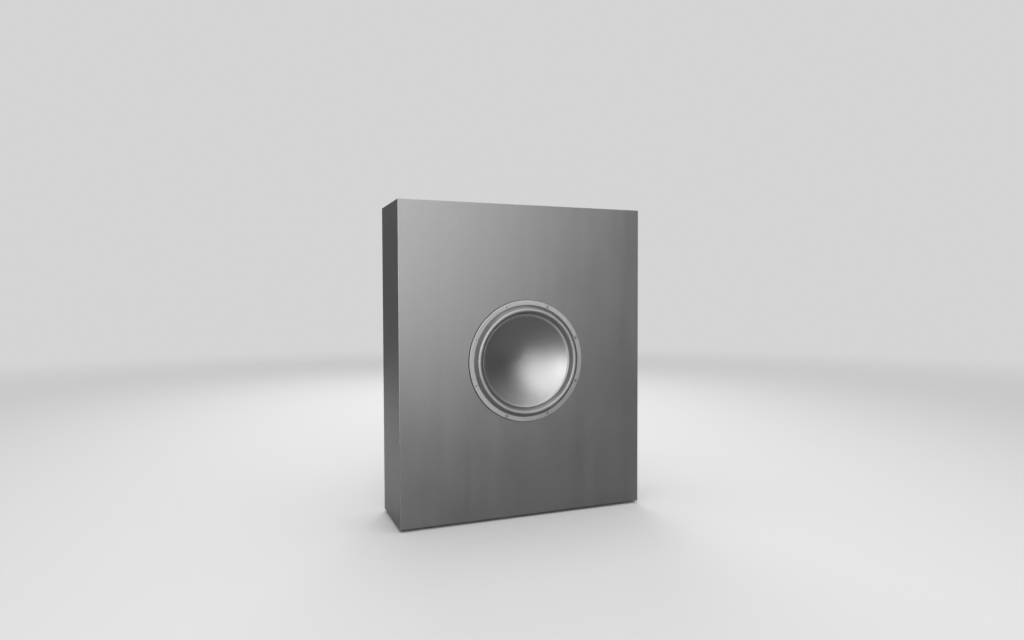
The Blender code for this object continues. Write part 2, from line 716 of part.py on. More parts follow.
def power_switch():
    """Bezel, and a rocker about a pivot behind the plate's face, lower half pressed in."""
    bezel = add("switch_bezel", slab_body(8.8, 12, GAP, 2.3), black_plastic, amp, (*POWER, 0))
    join(bezel, slab_body(*POWER_HALF, -14, 1.0), label="body")
    cut(bezel, slab_body(5.5, 8.5, -20, 6), label="opening")
    tilt = Matrix.Rotation(math.radians(-10), 4, "X")
    rocker = moved(prism_body(ROCKER_SIDE, -5.1, 5.1), tilt @ ACROSS)
    add("power_rocker", rocker, black_plastic, amp, (*POWER, -3))


def phase_switch():
    switch = add("phase_switch", slab_body(7, 3.6, -10.4, BEHIND), plated_steel, amp, (*PHASE, 0))
    cut(switch, slab_body(4.4, 2.0, -8.6, 0), label="track")
    slider_place = (PHASE[0] - 2.0, PHASE[1], 0)
    add("phase_slider", slab_body(2.0, 1.6, -8.2, 2.2), black_plastic, amp, slider_place)


def amp_screws():
    for i, place in enumerate(AMP_SCREW_PLACES, 1):
        name = f"amp_screw_{i}"
        screw = turned(name, AMP_SCREW_PROFILE, plated_steel, amp, 12, (*place, 0))
        cut(screw, rod_body(1.5, 6, 1.0, 6), label="socket")


amp_plate()
knob_control("volume", VOLUME)
knob_control("crossover", CROSSOVER)
heat_sink()
amp_cover()
add("circuit_board", box_body((-104, -60, -15.4), (44, 62, -13.8)), circuit_green, amp)
turned("transformer", TRANSFORMER_PROFILE, copper, amp, SMALL, (-50, 0, 0))
rca_block()
mains_inlet()
power_switch()
phase_switch()
turned("status_led", LED_PROFILE, led_lens, amp, 10, (*LED, 0))
amp_screws()
tube("speaker_cable", CABLE_PATH, 2.2, black_plastic, None)
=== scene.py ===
"""A slim active subwoofer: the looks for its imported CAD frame, the studio and the camera.

The world is in metres, +Z up; the driver faces -Y and the amplifier panel is on the +Y back.
Shapes are drawn in millimetres in local frames. DRIVER: x right, y up, z out of the front.
AMP: x along world X, y down, z out of the back. Both have z = 0 on the outer face.
"""

import math
from math import cos, hypot, pi, radians, sin

import bmesh
import bpy
import numpy as np
from mathutils import Matrix, Vector


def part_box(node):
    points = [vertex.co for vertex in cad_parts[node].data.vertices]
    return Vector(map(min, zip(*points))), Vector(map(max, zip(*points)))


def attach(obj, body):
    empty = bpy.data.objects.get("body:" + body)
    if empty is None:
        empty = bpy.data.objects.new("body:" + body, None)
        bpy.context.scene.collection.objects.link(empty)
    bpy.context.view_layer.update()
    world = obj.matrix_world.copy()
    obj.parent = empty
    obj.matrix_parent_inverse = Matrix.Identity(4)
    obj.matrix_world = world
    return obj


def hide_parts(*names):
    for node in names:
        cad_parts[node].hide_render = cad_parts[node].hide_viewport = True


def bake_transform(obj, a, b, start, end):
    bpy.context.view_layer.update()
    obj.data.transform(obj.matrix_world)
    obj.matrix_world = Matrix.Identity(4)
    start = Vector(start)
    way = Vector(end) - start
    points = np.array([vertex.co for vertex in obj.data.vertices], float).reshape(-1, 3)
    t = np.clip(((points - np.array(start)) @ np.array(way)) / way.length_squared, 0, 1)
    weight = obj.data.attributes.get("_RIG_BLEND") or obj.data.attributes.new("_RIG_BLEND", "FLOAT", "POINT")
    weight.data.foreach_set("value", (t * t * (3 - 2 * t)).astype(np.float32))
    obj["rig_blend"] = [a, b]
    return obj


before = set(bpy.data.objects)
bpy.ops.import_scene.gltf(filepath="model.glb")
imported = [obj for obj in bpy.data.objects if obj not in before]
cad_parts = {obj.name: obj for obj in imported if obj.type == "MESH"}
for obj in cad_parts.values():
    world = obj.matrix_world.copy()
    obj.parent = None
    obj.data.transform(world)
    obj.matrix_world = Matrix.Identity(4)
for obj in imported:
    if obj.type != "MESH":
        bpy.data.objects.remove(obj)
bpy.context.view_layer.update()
SCENE = bpy.context.scene
MM = 0.001


# ---- local frames ------------------------------------------------------------
def mid(node):
    lo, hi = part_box(node)
    return (lo + hi) / 2


def rotation(degrees, axis):
    return Matrix.Rotation(radians(degrees), 4, axis)


def frame_at(place, degrees=0):
    """A millimetre frame at a world place, turned about X."""
    return Matrix.Translation(place) @ rotation(degrees, "X") @ Matrix.Scale(MM, 4)


def face_frame(node, y, degrees):
    """A frame in the middle of a node seen along Y, at depth y."""
    middle = mid(node)
    return frame_at((middle.x, y, middle.z), degrees)


def size_mm(node):
    """Half width, half height and depth of a node."""
    lo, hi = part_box(node)
    return (hi.x - lo.x) / 2 / MM, (hi.z - lo.z) / 2 / MM, (hi.y - lo.y) / MM


def shifted(frame, x, y, z=0.0):
    return frame @ Matrix.Translation((x, y, z))


FRONT_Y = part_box("front_fascia")[0].y
DRIVER = face_frame("driver_basket", FRONT_Y, 90)
AMP = face_frame("amp_plate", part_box("amp_plate")[1].y, -90)
WORLD = Matrix.Scale(MM, 4)
# outline x, y, z become y, z, x: an outline in the YZ plane, pushed along X
ALONG_X = Matrix(((0, 0, 1), (1, 0, 0), (0, 1, 0))).to_4x4()


def amp_spot(node):
    """(x, y) of a node's middle in the AMP frame."""
    place = AMP.inverted() @ mid(node)
    return place.x, place.y


# ---- outlines ------------------------------------------------------------------
def fillet(points, segments=4):
    """Rounds the corners of a closed outline of (x, y) or (x, y, radius) points."""
    out = []
    for i, point in enumerate(points):
        corner = Vector(point[:2])
        radius = point[2] if len(point) > 2 else 0.0
        before = Vector(points[i - 1][:2]) - corner
        after = Vector(points[(i + 1) % len(points)][:2]) - corner
        reach = before.length, after.length
        before.normalize()
        after.normalize()
        angle = math.acos(max(-1, min(1, before.dot(after))))
        if radius <= 0 or angle > pi - 0.02:
            out.append((corner.x, corner.y))
            continue
        trim = min(radius / math.tan(angle / 2), 0.48 * reach[0], 0.48 * reach[1])
        radius = trim * math.tan(angle / 2)
        centre = corner + (before + after).normalized() * (radius / sin(angle / 2))
        start = corner + before * trim - centre
        end = corner + after * trim - centre
        first = math.atan2(start.y, start.x)
        sweep = math.atan2(end.y, end.x) - first
        while sweep > pi:
            sweep -= 2 * pi
        while sweep < -pi:
            sweep += 2 * pi
        for k in range(segments + 1):
            t = first + sweep * k / segments
            out.append((centre.x + radius * cos(t), centre.y + radius * sin(t)))
    return out


def arc(x, y, radius, start, end, steps):
    angles = [radians(start + (end - start) * i / steps) for i in range(steps + 1)]
    return [(x + radius * cos(a), y + radius * sin(a)) for a in angles]


def circle(radius, sides, x=0.0, y=0.0, turn=0.0):
    angles = [turn + 2 * pi * i / sides for i in range(sides)]
    return [(x + radius * cos(a), y + radius * sin(a)) for a in angles]


def rounded_rect(half_x, half_y, radius, steps=8, x=0.0, y=0.0):
    out = []
    for sx, sy, start in ((1, 1, 0), (-1, 1, 90), (-1, -1, 180), (1, -1, 270)):
        for px, py in arc(0, 0, radius, start, start + 90, steps):
            out.append((x + sx * (half_x - radius) + px, y + sy * (half_y - radius) + py))
    return out


def pushed(points, distance):
    """An open line moved sideways."""
    out = []
    for i, point in enumerate(points):
        before, after = Vector(points[max(i - 1, 0)]), Vector(points[min(i + 1, len(points) - 1)])
        along = (after - before).normalized()
        out.append((point[0] - along.y * distance, point[1] + along.x * distance))
    return out


# ---- solids --------------------------------------------------------------------
def recalculated(bm):
    bmesh.ops.recalc_face_normals(bm, faces=bm.faces[:])
    return bm


def bevelled(bm, edges, offset, segments):
    bmesh.ops.bevel(
        bm, geom=edges, offset=offset, segments=segments, profile=0.5, affect="EDGES",
        clamp_overlap=True,
    )
    return bm


def lathe(profile, sides=128, shape=None):
    """A solid turned about z from a closed loop of (radius, height).

    shape(angle, radius, height) may move each point.
    """
    bm = bmesh.new()
    rings = []
    for radius, height in profile:
        if radius < 1e-6:
            rings.append([bm.verts.new((0, 0, height))])
            continue
        ring = []
        for i in range(sides):
            angle = 2 * pi * i / sides
            r, h = shape(angle, radius, height) if shape else (radius, height)
            ring.append(bm.verts.new((r * cos(angle), r * sin(angle), h)))
        rings.append(ring)
    for a, b in zip(rings, rings[1:] + rings[:1]):
        if len(a) == len(b) == 1:
            continue
        for i in range(sides):
            j = (i + 1) % sides
            # on the axis two corners are one, which makes a triangle
            corners = a[i % len(a)], b[i % len(b)], b[j % len(b)], a[j % len(a)]
            bm.faces.new(tuple(dict.fromkeys(corners)))
    return recalculated(bm)


def prism(outline, z0, z1, bevel=0.0, segments=2, both_ends=True):
    """An outline pushed from z0 to z1; the bevel is on both end rims or on the z1 rim only."""
    bm = bmesh.new()
    low = [bm.verts.new((x, y, z0)) for x, y in outline]
    high = [bm.verts.new((x, y, z1)) for x, y in outline]
    bm.faces.new(low[::-1])
    bm.faces.new(high)
    for i in range(len(outline)):
        j = (i + 1) % len(outline)
        bm.faces.new((low[i], low[j], high[j], high[i]))
    recalculated(bm)
    if bevel > 0:
        rims = (low, high) if both_ends else (high,)
        edges = [e for e in bm.edges if any(all(v in rim for v in e.verts) for rim in rims)]
        bevelled(bm, edges, bevel, segments)
    return bm


def box(lo, hi, bevel=0.0, segments=3):
    bm = bmesh.new()
    size = [b - a for a, b in zip(lo, hi)]
    centre = [(a + b) / 2 for a, b in zip(lo, hi)]
    matrix = Matrix.Translation(centre) @ Matrix.Diagonal((*size, 1.0))
    bmesh.ops.create_cube(bm, size=1.0, matrix=matrix)
    return bevelled(bm, bm.edges[:], bevel, segments) if bevel > 0 else bm


def carried_frames(path):
    """(place, side, up) at each point of a path, carried along without twisting."""
    frames = []
    side = None
    for i, place in enumerate(path):
        tangent = (path[min(i + 1, len(path) - 1)] - path[max(i - 1, 0)]).normalized()
        if side is None:
            side = tangent.orthogonal().normalized()
        side = (side - tangent * side.dot(tangent)).normalized()
        frames.append((place, side, tangent.cross(side).normalized()))
    return frames


def around(frame, angle, radius):
    place, side, up = frame
    return place + (side * cos(angle) + up * sin(angle)) * radius


def strand(points, radius, sides, steps, wind, turns, phase):
    """A round wire wound at radius `wind` about a smooth path through the points."""
    pts = [Vector(p) for p in points]
    path = []
    for i in range(len(pts) - 1):
        p0, p1, p2, p3 = pts[max(i - 1, 0)], pts[i], pts[i + 1], pts[min(i + 2, len(pts) - 1)]
        for k in range(steps):
            t = k / steps
            linear = (p2 - p0) * t
            square = (2 * p0 - 5 * p1 + 4 * p2 - p3) * t * t
            cube = (3 * p1 - p0 - 3 * p2 + p3) * t**3
            path.append(0.5 * ((2 * p1) + linear + square + cube))
    path.append(pts[-1])
    frames = carried_frames(path)
    last = len(frames) - 1
    wound_path = [around(f, phase + 2 * pi * turns * i / last, wind) for i, f in enumerate(frames)]
    bm = bmesh.new()
    rings = []
    for frame in carried_frames(wound_path):
        ring = [around(frame, 2 * pi * k / sides, radius) for k in range(sides)]
        rings.append([bm.verts.new(p) for p in ring])
    for a, b in zip(rings, rings[1:]):
        for k in range(sides):
            m = (k + 1) % sides
            bm.faces.new((a[k], a[m], b[m], b[k]))
    bm.faces.new(rings[0][::-1])
    bm.faces.new(rings[-1])
    return recalculated(bm)


def thread(core, crest, top, bottom, pitch, sides, steps=8):
    """A screw thread; the radius of its surface follows a helix and fades at both ends."""
    count = int(abs(top - bottom) / pitch * steps)
    bm = bmesh.new()
    rings = []
    for k in range(count + 1):
        z = top + (bottom - top) * k / count
        fade = min(1.0, k / steps, (count - k) / steps)
        ring = []
        for i in range(sides):
            tooth = max(0.0, 1 - abs((z / pitch + i / sides) % 1.0 - 0.5) * 3.0)
            r = core + (crest - core) * tooth * fade
            a = 2 * pi * i / sides
            ring.append(bm.verts.new((r * cos(a), r * sin(a), z)))
        rings.append(ring)
    for a, b in zip(rings, rings[1:]):
        for i in range(sides):
            j = (i + 1) % sides
            bm.faces.new((a[i], b[i], b[j], a[j]))
    bm.faces.new(rings[0][::-1])
    bm.faces.new(rings[-1])
    return recalculated(bm)


def pointed_shank(core, crest, top, bottom, pitch, tip_radius, sides):
    """A thread and the cone below it."""
    tip_top = bottom + 0.1
    tip = lathe([(0, tip_top), (tip_radius, tip_top), (0, bottom - 1.5)], sides)
    return joined(thread(core, crest, top, bottom, pitch, sides), tip)


def moved(bm, matrix):
    bmesh.ops.transform(bm, matrix=matrix, verts=bm.verts[:])
    return bm


def at(bm, x, y=0.0, z=0.0):
    return moved(bm, Matrix.Translation((x, y, z)))


def painted(bm, index):
    for face in bm.faces:
        face.material_index = index
    return bm


def mesh_of(bm, name="tmp"):
    """A mesh made from a bmesh, which is used up."""
    mesh = bpy.data.meshes.new(name)
    bm.to_mesh(mesh)
    bm.free()
    return mesh


def new_object(name, data):
    obj = bpy.data.objects.new(name, data)
    SCENE.collection.objects.link(obj)
    return obj


def evaluated_mesh(obj):
    graph = bpy.context.evaluated_depsgraph_get()
    return bpy.data.meshes.new_from_object(obj.evaluated_get(graph))


def joined(*parts):
    """Several closed shells in one bmesh. Material numbers stay."""
    out = bmesh.new()
    for part in parts:
        mesh = mesh_of(part)
        out.from_mesh(mesh)
        bpy.data.meshes.remove(mesh)
    return out


def boolean(shape, tool, operation):
    """An exact Boolean of two bmeshes, applied at once."""
    tidy = 0.0005
    made = []
    for part in (shape, tool):
        mesh = mesh_of(recalculated(part))
        for _ in range(8):  # empty slots, so that material numbers survive
            mesh.materials.append(None)
        made.append(new_object("bool_tmp", mesh))
    mod = made[0].modifiers.new("b", "BOOLEAN")
    mod.operation, mod.solver, mod.object = operation, "EXACT", made[1]
    mod.use_self = operation == "UNION"
    mesh = evaluated_mesh(made[0])
    out = bmesh.new()
    out.from_mesh(mesh)
    bmesh.ops.remove_doubles(out, verts=out.verts[:], dist=tidy)
    bmesh.ops.dissolve_degenerate(out, edges=out.edges[:], dist=tidy)
    for obj in made:
        data = obj.data
        bpy.data.objects.remove(obj, do_unlink=True)
        bpy.data.meshes.remove(data)
    bpy.data.meshes.remove(mesh)
    return out


def cut(shape, *tools):
    return boolean(shape, joined(*tools), "DIFFERENCE")


def fused(shape, *tools):
    return boolean(shape, joined(*tools), "UNION")


def piece(name, bm, where, materials, node=None, body="cabinet", angle=30, share=None):
    """Makes the object in the world, with its materials, riding on its body.

    share(co) is a point's part of the cone's travel, for pieces that stretch between the cabinet and the
    cone.
    """
    names = (materials,) if isinstance(materials, str) else materials
    mesh = mesh_of(recalculated(moved(bm, where)), name)
    for material in names:
        mesh.materials.append(MATERIALS[material])
    index = np.zeros(len(mesh.polygons), np.int32)
    mesh.polygons.foreach_get("material_index", index)
    mesh.polygons.foreach_set("material_index", np.minimum(index, len(names) - 1))
    mesh.shade_smooth()
    mesh.set_sharp_from_angle(angle=radians(angle))
    mesh.update()
    obj = new_object(name, mesh)
    if share:
        bpy.context.view_layer.update()
        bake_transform(obj, "cabinet", "moving_cone", start=(0, 0, 0), end=(0, -0.1, 0))
        weights = np.array([share(v.co) for v in mesh.vertices], np.float32)
        mesh.attributes["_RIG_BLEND"].data.foreach_set("value", weights)
    else:
        # large flat faces keep their own normal, so their bevels alone turn
        mod = obj.modifiers.new("weigh", "WEIGHTED_NORMAL")
        mod.mode, mod.weight, mod.keep_sharp = "FACE_AREA", 50, True
        made = evaluated_mesh(obj)
        obj.modifiers.clear()
        obj.data = made
        bpy.data.meshes.remove(mesh)
        made.name = name
        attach(obj, body)
    if node:
        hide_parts(node)


# ---- material builder ----------------------------------------------------------
MATERIALS = {}
ROLL_CENTRE, ROLL_HALF = 111.75, 8.6  # middle radius and half width of the surround's roll


def add_node(tree, kind, inputs=None, **props):
    """A shader node; an input is given as a value or as a socket to link from."""
    node = tree.nodes.new(kind)
    for key, value in props.items():
        setattr(node, key, value)
    for key, value in (inputs or {}).items():
        if hasattr(value, "is_output"):
            tree.links.new(value, node.inputs[key])
        else:
            node.inputs[key].default_value = value
    return node


def rgba(colour):
    """RGBA from an (r, g, b) colour or a grey."""
    return (*colour, 1.0) if isinstance(colour, tuple) else (colour, colour, colour, 1.0)


class Paint:
    """A procedural material on one Principled BSDF, built up in layers."""

    def __init__(self, name, base, rough, metal=0.0, **extra):
        self.mat = bpy.data.materials.new(name)
        self.mat.use_nodes = True
        self.tree = self.mat.node_tree
        self.bsdf = self.tree.nodes["Principled BSDF"]
        self.base = rgba(base)
        self.bsdf.inputs["Base Color"].default_value = self.base
        self.bsdf.inputs["Roughness"].default_value = rough
        self.bsdf.inputs["Metallic"].default_value = metal
        for key, value in extra.items():
            self.bsdf.inputs[key.replace("_", " ")].default_value = value
        self.mat.diffuse_color = self.base
        self.colour = None
        self.normal = None
        self.rough = rough
        MATERIALS[name] = self.mat

    def drive(self, socket, output):
        self.tree.links.new(output, self.bsdf.inputs[socket])
        return output

    # values
    def node(self, kind, inputs=None, **props):
        return add_node(self.tree, kind, inputs, **props)

    def math(self, operation, a, b=None, clamp=False):
        inputs = {0: a} if b is None else {0: a, 1: b}
        return self.node("ShaderNodeMath", inputs, operation=operation, use_clamp=clamp).outputs[0]

    def vector(self, operation, inputs, output="Vector"):
        return self.node("ShaderNodeVectorMath", inputs, operation=operation).outputs[output]

    def coord(self, scale=(1, 1, 1), turn=(0, 0, 0)):
        place = self.node("ShaderNodeTexCoord").outputs["Object"]
        if scale == (1, 1, 1) and turn == (0, 0, 0):
            return place
        inputs = {"Vector": place, "Scale": scale, "Rotation": turn}
        return self.node("ShaderNodeMapping", inputs).outputs["Vector"]

    def noise(self, scale=1.0, detail=3.0, roughness=0.6, stretch=(1, 1, 1)):
        inputs = {
            "Vector": self.coord(stretch), "Scale": scale, "Detail": detail,
            "Roughness": roughness,
        }
        return self.node("ShaderNodeTexNoise", inputs).outputs["Fac"]

    def wave(self, scale, distortion, detail, detail_scale=1.0, direction="X", turn=(0, 0, 0)):
        inputs = {
            "Vector": self.coord(turn=turn), "Scale": scale, "Distortion": distortion,
            "Detail": detail, "Detail Scale": detail_scale,
        }
        props = {"wave_type": "BANDS", "bands_direction": direction}
        return self.node("ShaderNodeTexWave", inputs, **props).outputs["Fac"]

    def rings(self, scale, wobble, detail=2.0, roughness=0.5):
        """Lathe marks: noise of the distance from the driver's axis. Returns that distance too."""
        axis = tuple((DRIVER.to_3x3() @ Vector((0, 0, 1))).normalized())
        offset = self.vector("SUBTRACT", {0: self.coord(), 1: tuple(DRIVER.translation)})
        along = self.vector("DOT_PRODUCT", {0: offset, 1: axis}, "Value")
        flat = self.vector("SCALE", {0: axis, "Scale": along})
        radial = self.vector("SUBTRACT", {0: offset, 1: flat})
        distance = self.vector("LENGTH", {0: radial}, "Value")
        stray = self.math("MULTIPLY", self.noise(scale=60, detail=1, roughness=0.5), wobble)
        distance = self.math("ADD", distance, stray)
        inputs = {"W": distance, "Scale": scale, "Detail": detail, "Roughness": roughness}
        marks = self.node("ShaderNodeTexNoise", inputs, noise_dimensions="1D")
        return marks.outputs["Fac"], distance

    def span(self, value, start, end, low=0.0, high=1.0, **props):
        """Maps start..end to low..high."""
        inputs = {
            "Value": value, "From Min": start, "From Max": end, "To Min": low, "To Max": high,
        }
        return self.node("ShaderNodeMapRange", inputs, **props).outputs["Result"]

    # layers
    def tint(self, mask, to, amount):
        """Mixes the colour towards another by the mask."""
        fac = self.math("MULTIPLY", mask, amount, clamp=True)
        inputs = {0: fac, 6: self.colour or self.base, 7: rgba(to)}
        mixed = self.node("ShaderNodeMix", inputs, data_type="RGBA")
        self.colour = self.drive("Base Color", mixed.outputs[2])

    def stain(self, value, start, end, to, amount):
        """Tints where a value is high: none at start, all at end."""
        self.tint(self.span(value, start, end), to, amount)

    def wear(self, radius, start, end, to, amount):
        """Tints outer and inner edges; start and end bound how far the normal turns there."""
        bevel = self.node("ShaderNodeBevel", {"Radius": radius}, samples=4).outputs["Normal"]
        true = self.node("ShaderNodeNewGeometry").outputs["Normal"]
        dot = self.vector("DOT_PRODUCT", {0: bevel, 1: true}, "Value")
        self.stain(self.math("SUBTRACT", 1.0, dot), start, end, to, amount)

    def scale_colour(self, value):
        scaled = self.vector("SCALE", {0: self.colour or self.base[:3], "Scale": value})
        self.colour = self.drive("Base Color", scaled)

    def shade(self, value, low, high, tail=0.2):
        """Scales the colour from low to high as the value goes from tail to 1 - tail."""
        self.scale_colour(self.span(value, tail, 1 - tail, low, high))

    def roughen(self, value, by):
        part = self.math("MULTIPLY", self.math("SUBTRACT", value, 0.5), by)
        self.rough = self.drive("Roughness", self.math("ADD", part, self.rough, clamp=True))

    def bump(self, height, depth, strength):
        inputs = {"Height": height, "Strength": strength, "Distance": depth}
        if self.normal is not None:
            inputs["Normal"] = self.normal
        self.normal = self.drive("Normal", self.node("ShaderNodeBump", inputs).outputs["Normal"])

    def turned_sheen(self):
        """Runs the anisotropy round the Y axis."""
        tangent = self.node("ShaderNodeTangent", direction_type="RADIAL", axis="Y")
        self.drive("Tangent", tangent.outputs["Tangent"])


def plain_paint(
    name, base, rough, metal=0.0, *, scale, low, high, by, detail=3.0, grit=0.6, tail=0.2,
    depth=None, strength=0.4, **extra,
):
    """A material with one noise in its colour (low, high), roughness (by) and relief (depth)."""
    mat = Paint(name, base, rough, metal, **extra)
    skin = mat.noise(scale, detail, grit)
    mat.shade(skin, low, high, tail)
    mat.roughen(skin, by)
    if depth:
        mat.bump(skin, depth, strength)


# ---- materials -----------------------------------------------------------------
# Cabinet sheet: fine pits, a faint upright grain, slight clouding.
mat = Paint("satin_aluminium", (0.305, 0.305, 0.308), rough=0.39, metal=1.0)
pits = mat.noise(scale=2200, detail=2.0)
grain = mat.noise(stretch=(900, 900, 14))
cloud = mat.noise(scale=9, roughness=0.5)
fine_cloud = mat.noise(scale=70)
streak = mat.noise(stretch=(34, 34, 2.2), roughness=0.55)
mat.shade(cloud, low=0.955, high=1.03)
mat.shade(streak, low=0.97, high=1.03, tail=0.25)
mat.roughen(streak, by=0.07)
mat.shade(fine_cloud, low=0.985, high=1.015, tail=0.25)
mat.shade(pits, low=0.95, high=1.04, tail=0.25)
mat.shade(grain, low=0.985, high=1.015, tail=0.25)
mat.roughen(cloud, by=0.07)
mat.roughen(pits, by=0.16)
mat.roughen(grain, by=0.06)
mat.bump(pits, depth=0.00005, strength=0.4)
mat.bump(grain, depth=0.00003, strength=0.3)
mat.wear(radius=0.0012, start=0.05, end=0.5, to=0.80, amount=0.35)

# Driver ring: turned metal with fine concentric tool marks.
mat = Paint("cast_aluminium", (0.50, 0.50, 0.503), rough=0.52, metal=1.0, Anisotropic=0.2)
marks, _ = mat.rings(scale=2600, wobble=0.00015, detail=3.0, roughness=0.7)
cloud = mat.noise(scale=55, roughness=0.55)
pits = mat.noise(scale=1500, detail=2.0)
mat.shade(marks, low=0.93, high=1.05)
mat.shade(cloud, low=0.97, high=1.03)
mat.roughen(marks, by=0.16)
mat.roughen(cloud, by=0.08)
mat.bump(marks, depth=0.00005, strength=0.45)
mat.bump(pits, depth=0.00003, strength=0.25)
mat.turned_sheen()

# Untooled casting: ribs and rear of the basket.
plain_paint(
    "basket_casting", (0.42, 0.42, 0.43), rough=0.55, metal=1.0,
    scale=900, grit=0.65, low=0.85, high=1.1, by=0.2, depth=0.0002, strength=0.5,
)

# Dish: satin spun sheet, its spinning lines just visible.
mat = Paint("cone_metal", (0.37, 0.37, 0.373), rough=0.39, metal=1.0, Anisotropic=0.2)
lines, _ = mat.rings(scale=1500, wobble=0.0002, detail=4.0, roughness=0.7)
wide, _ = mat.rings(scale=160, wobble=0.0004)
pits = mat.noise(scale=1900, detail=2.0)
cloud = mat.noise(scale=28, roughness=0.5)
mat.shade(lines, low=0.965, high=1.03)
mat.shade(wide, low=0.985, high=1.015, tail=0.25)
mat.shade(cloud, low=0.97, high=1.02)
mat.roughen(lines, by=0.07)
mat.roughen(cloud, by=0.05)
mat.roughen(pits, by=0.10)
mat.bump(lines, depth=0.00003, strength=0.35)
mat.bump(pits, depth=0.00003, strength=0.35)
mat.turned_sheen()

# Surround: grey rubber, with a painted highlight on the crown of the roll and painted shade on the flanks
# beside it.
mat = Paint("surround_rubber", (0.37, 0.37, 0.373), rough=0.40, metal=0.6)
skin = mat.noise(scale=1400, detail=2.5)
bloom = mat.noise(scale=45, detail=4.0)
radial, distance = mat.rings(scale=500, wobble=0.0003)
# painted highlight and shade: the colour is lightened on the crown and darkened on the flanks, by distance
# from the crown
from_crown = mat.math("ABSOLUTE", mat.math("SUBTRACT", distance, ROLL_CENTRE * MM))
mat.scale_colour(mat.span(from_crown, start=0.0014, end=0.0040, low=1.22, high=0.56))
mat.shade(bloom, low=0.93, high=1.08, tail=0.25)
mat.shade(skin, low=0.94, high=1.06)
mat.shade(radial, low=0.97, high=1.03)
mat.roughen(bloom, by=0.08)
mat.roughen(skin, by=0.10)
mat.bump(skin, depth=0.00004, strength=0.4)

mat = Paint("foot_rubber", (0.028, 0.028, 0.03), rough=0.62)
skin = mat.noise(scale=700)
dust = mat.noise(scale=40, detail=4.0)
mat.shade(skin, low=0.8, high=1.2)
mat.stain(dust, start=0.5, end=0.8, to=0.16, amount=0.35)
mat.roughen(skin, by=0.2)
mat.bump(skin, depth=0.0002, strength=0.5)

mat = Paint("foam", (0.03, 0.03, 0.032), rough=0.92)
cell_inputs = {"Vector": mat.coord(), "Scale": 1600.0}
cells = mat.node("ShaderNodeTexVoronoi", cell_inputs).outputs["Distance"]
mat.scale_colour(mat.span(cells, start=0.0, end=0.6, low=0.5, high=1.5))
mat.bump(cells, depth=0.0003, strength=0.8)

# Raw fibreboard: matted fibres, darker specks.
mat = Paint("board_wood", (0.44, 0.315, 0.205), rough=0.86)
fibre = mat.noise(stretch=(260, 260, 900), detail=4.0, roughness=0.65)
fluff = mat.noise(scale=520, detail=4.0, roughness=0.7)
blot = mat.noise(scale=14, roughness=0.5)
mat.shade(fibre, low=0.86, high=1.12, tail=0.25)
mat.shade(fluff, low=0.88, high=1.1)
mat.shade(blot, low=0.93, high=1.07)
mat.roughen(fluff, by=0.12)
mat.bump(fluff, depth=0.0003, strength=0.55)

# Rear board: sprayed black paint with an orange-peel texture.
mat = Paint("painted_board", (0.050, 0.050, 0.052), rough=0.5)
peel = mat.noise(scale=620, roughness=0.55)
fine = mat.noise(scale=2600, detail=2.0)
rub = mat.noise(scale=11, detail=4.0, roughness=0.55)
mat.shade(peel, low=0.85, high=1.18, tail=0.25)
mat.stain(rub, start=0.5, end=0.85, to=0.09, amount=0.35)
mat.wear(radius=0.0009, start=0.08, end=0.6, to=0.13, amount=0.5)
mat.roughen(peel, by=0.16)
mat.roughen(rub, by=0.10)
mat.bump(peel, depth=0.00035, strength=0.55)
mat.bump(fine, depth=0.00008, strength=0.4)

# Loose wadding: two crossing runs of matted fibres.
mat = Paint("fibre", (0.80, 0.79, 0.76), rough=0.95, Sheen_Weight=0.5, Sheen_Roughness=0.5)
run = mat.wave(scale=130.0, distortion=14.0, detail=4.0, detail_scale=3.0)
cross = mat.wave(scale=170.0, distortion=16.0, detail=4.0, detail_scale=3.0, turn=(0, 1.1, 0.4))
both = mat.math("MULTIPLY", mat.math("ADD", run, cross), 0.5)
mat.shade(both, low=0.72, high=1.06, tail=0.0)
mat.bump(both, depth=0.0015, strength=0.8)

# Spider: resin-stiffened weave.
mat = Paint("spider_cloth", (0.58, 0.43, 0.15), rough=0.78)
warp = mat.wave(scale=420.0, distortion=0.4, detail=1.0, direction="X")
weft = mat.wave(scale=420.0, distortion=0.4, detail=1.0, direction="Z")
weave = mat.math("MAXIMUM", warp, weft)
blot = mat.noise(scale=60, roughness=0.5)
mat.shade(weave, low=0.62, high=1.1, tail=0.0)
mat.shade(blot, low=0.88, high=1.1)
mat.roughen(blot, by=0.15)
mat.bump(weave, depth=0.0003, strength=0.7)

plain_paint(
    "former_sheet", (0.46, 0.36, 0.16), rough=0.35, Coat_Weight=0.4,
    scale=120, grit=0.5, low=0.85, high=1.15, by=0.2, depth=0.0001,
)

# Amplifier panel, heat sink and cover: black metal, brushed along X, brighter at the edges.
mat = Paint("black_metal", (0.060, 0.060, 0.062), rough=0.42, metal=0.75)
brush = mat.noise(stretch=(14, 1400, 1400))
pits = mat.noise(scale=2100, detail=2.0)
hand = mat.noise(scale=18, detail=4.0, roughness=0.55)
mat.shade(brush, low=0.82, high=1.22, tail=0.25)
mat.stain(hand, start=0.5, end=0.85, to=0.07, amount=0.35)
mat.wear(radius=0.0005, start=0.12, end=0.8, to=0.35, amount=0.30)
mat.roughen(brush, by=0.14)
mat.roughen(hand, by=0.12)
mat.bump(pits, depth=0.00004, strength=0.4)
mat.bump(brush, depth=0.00003, strength=0.4)

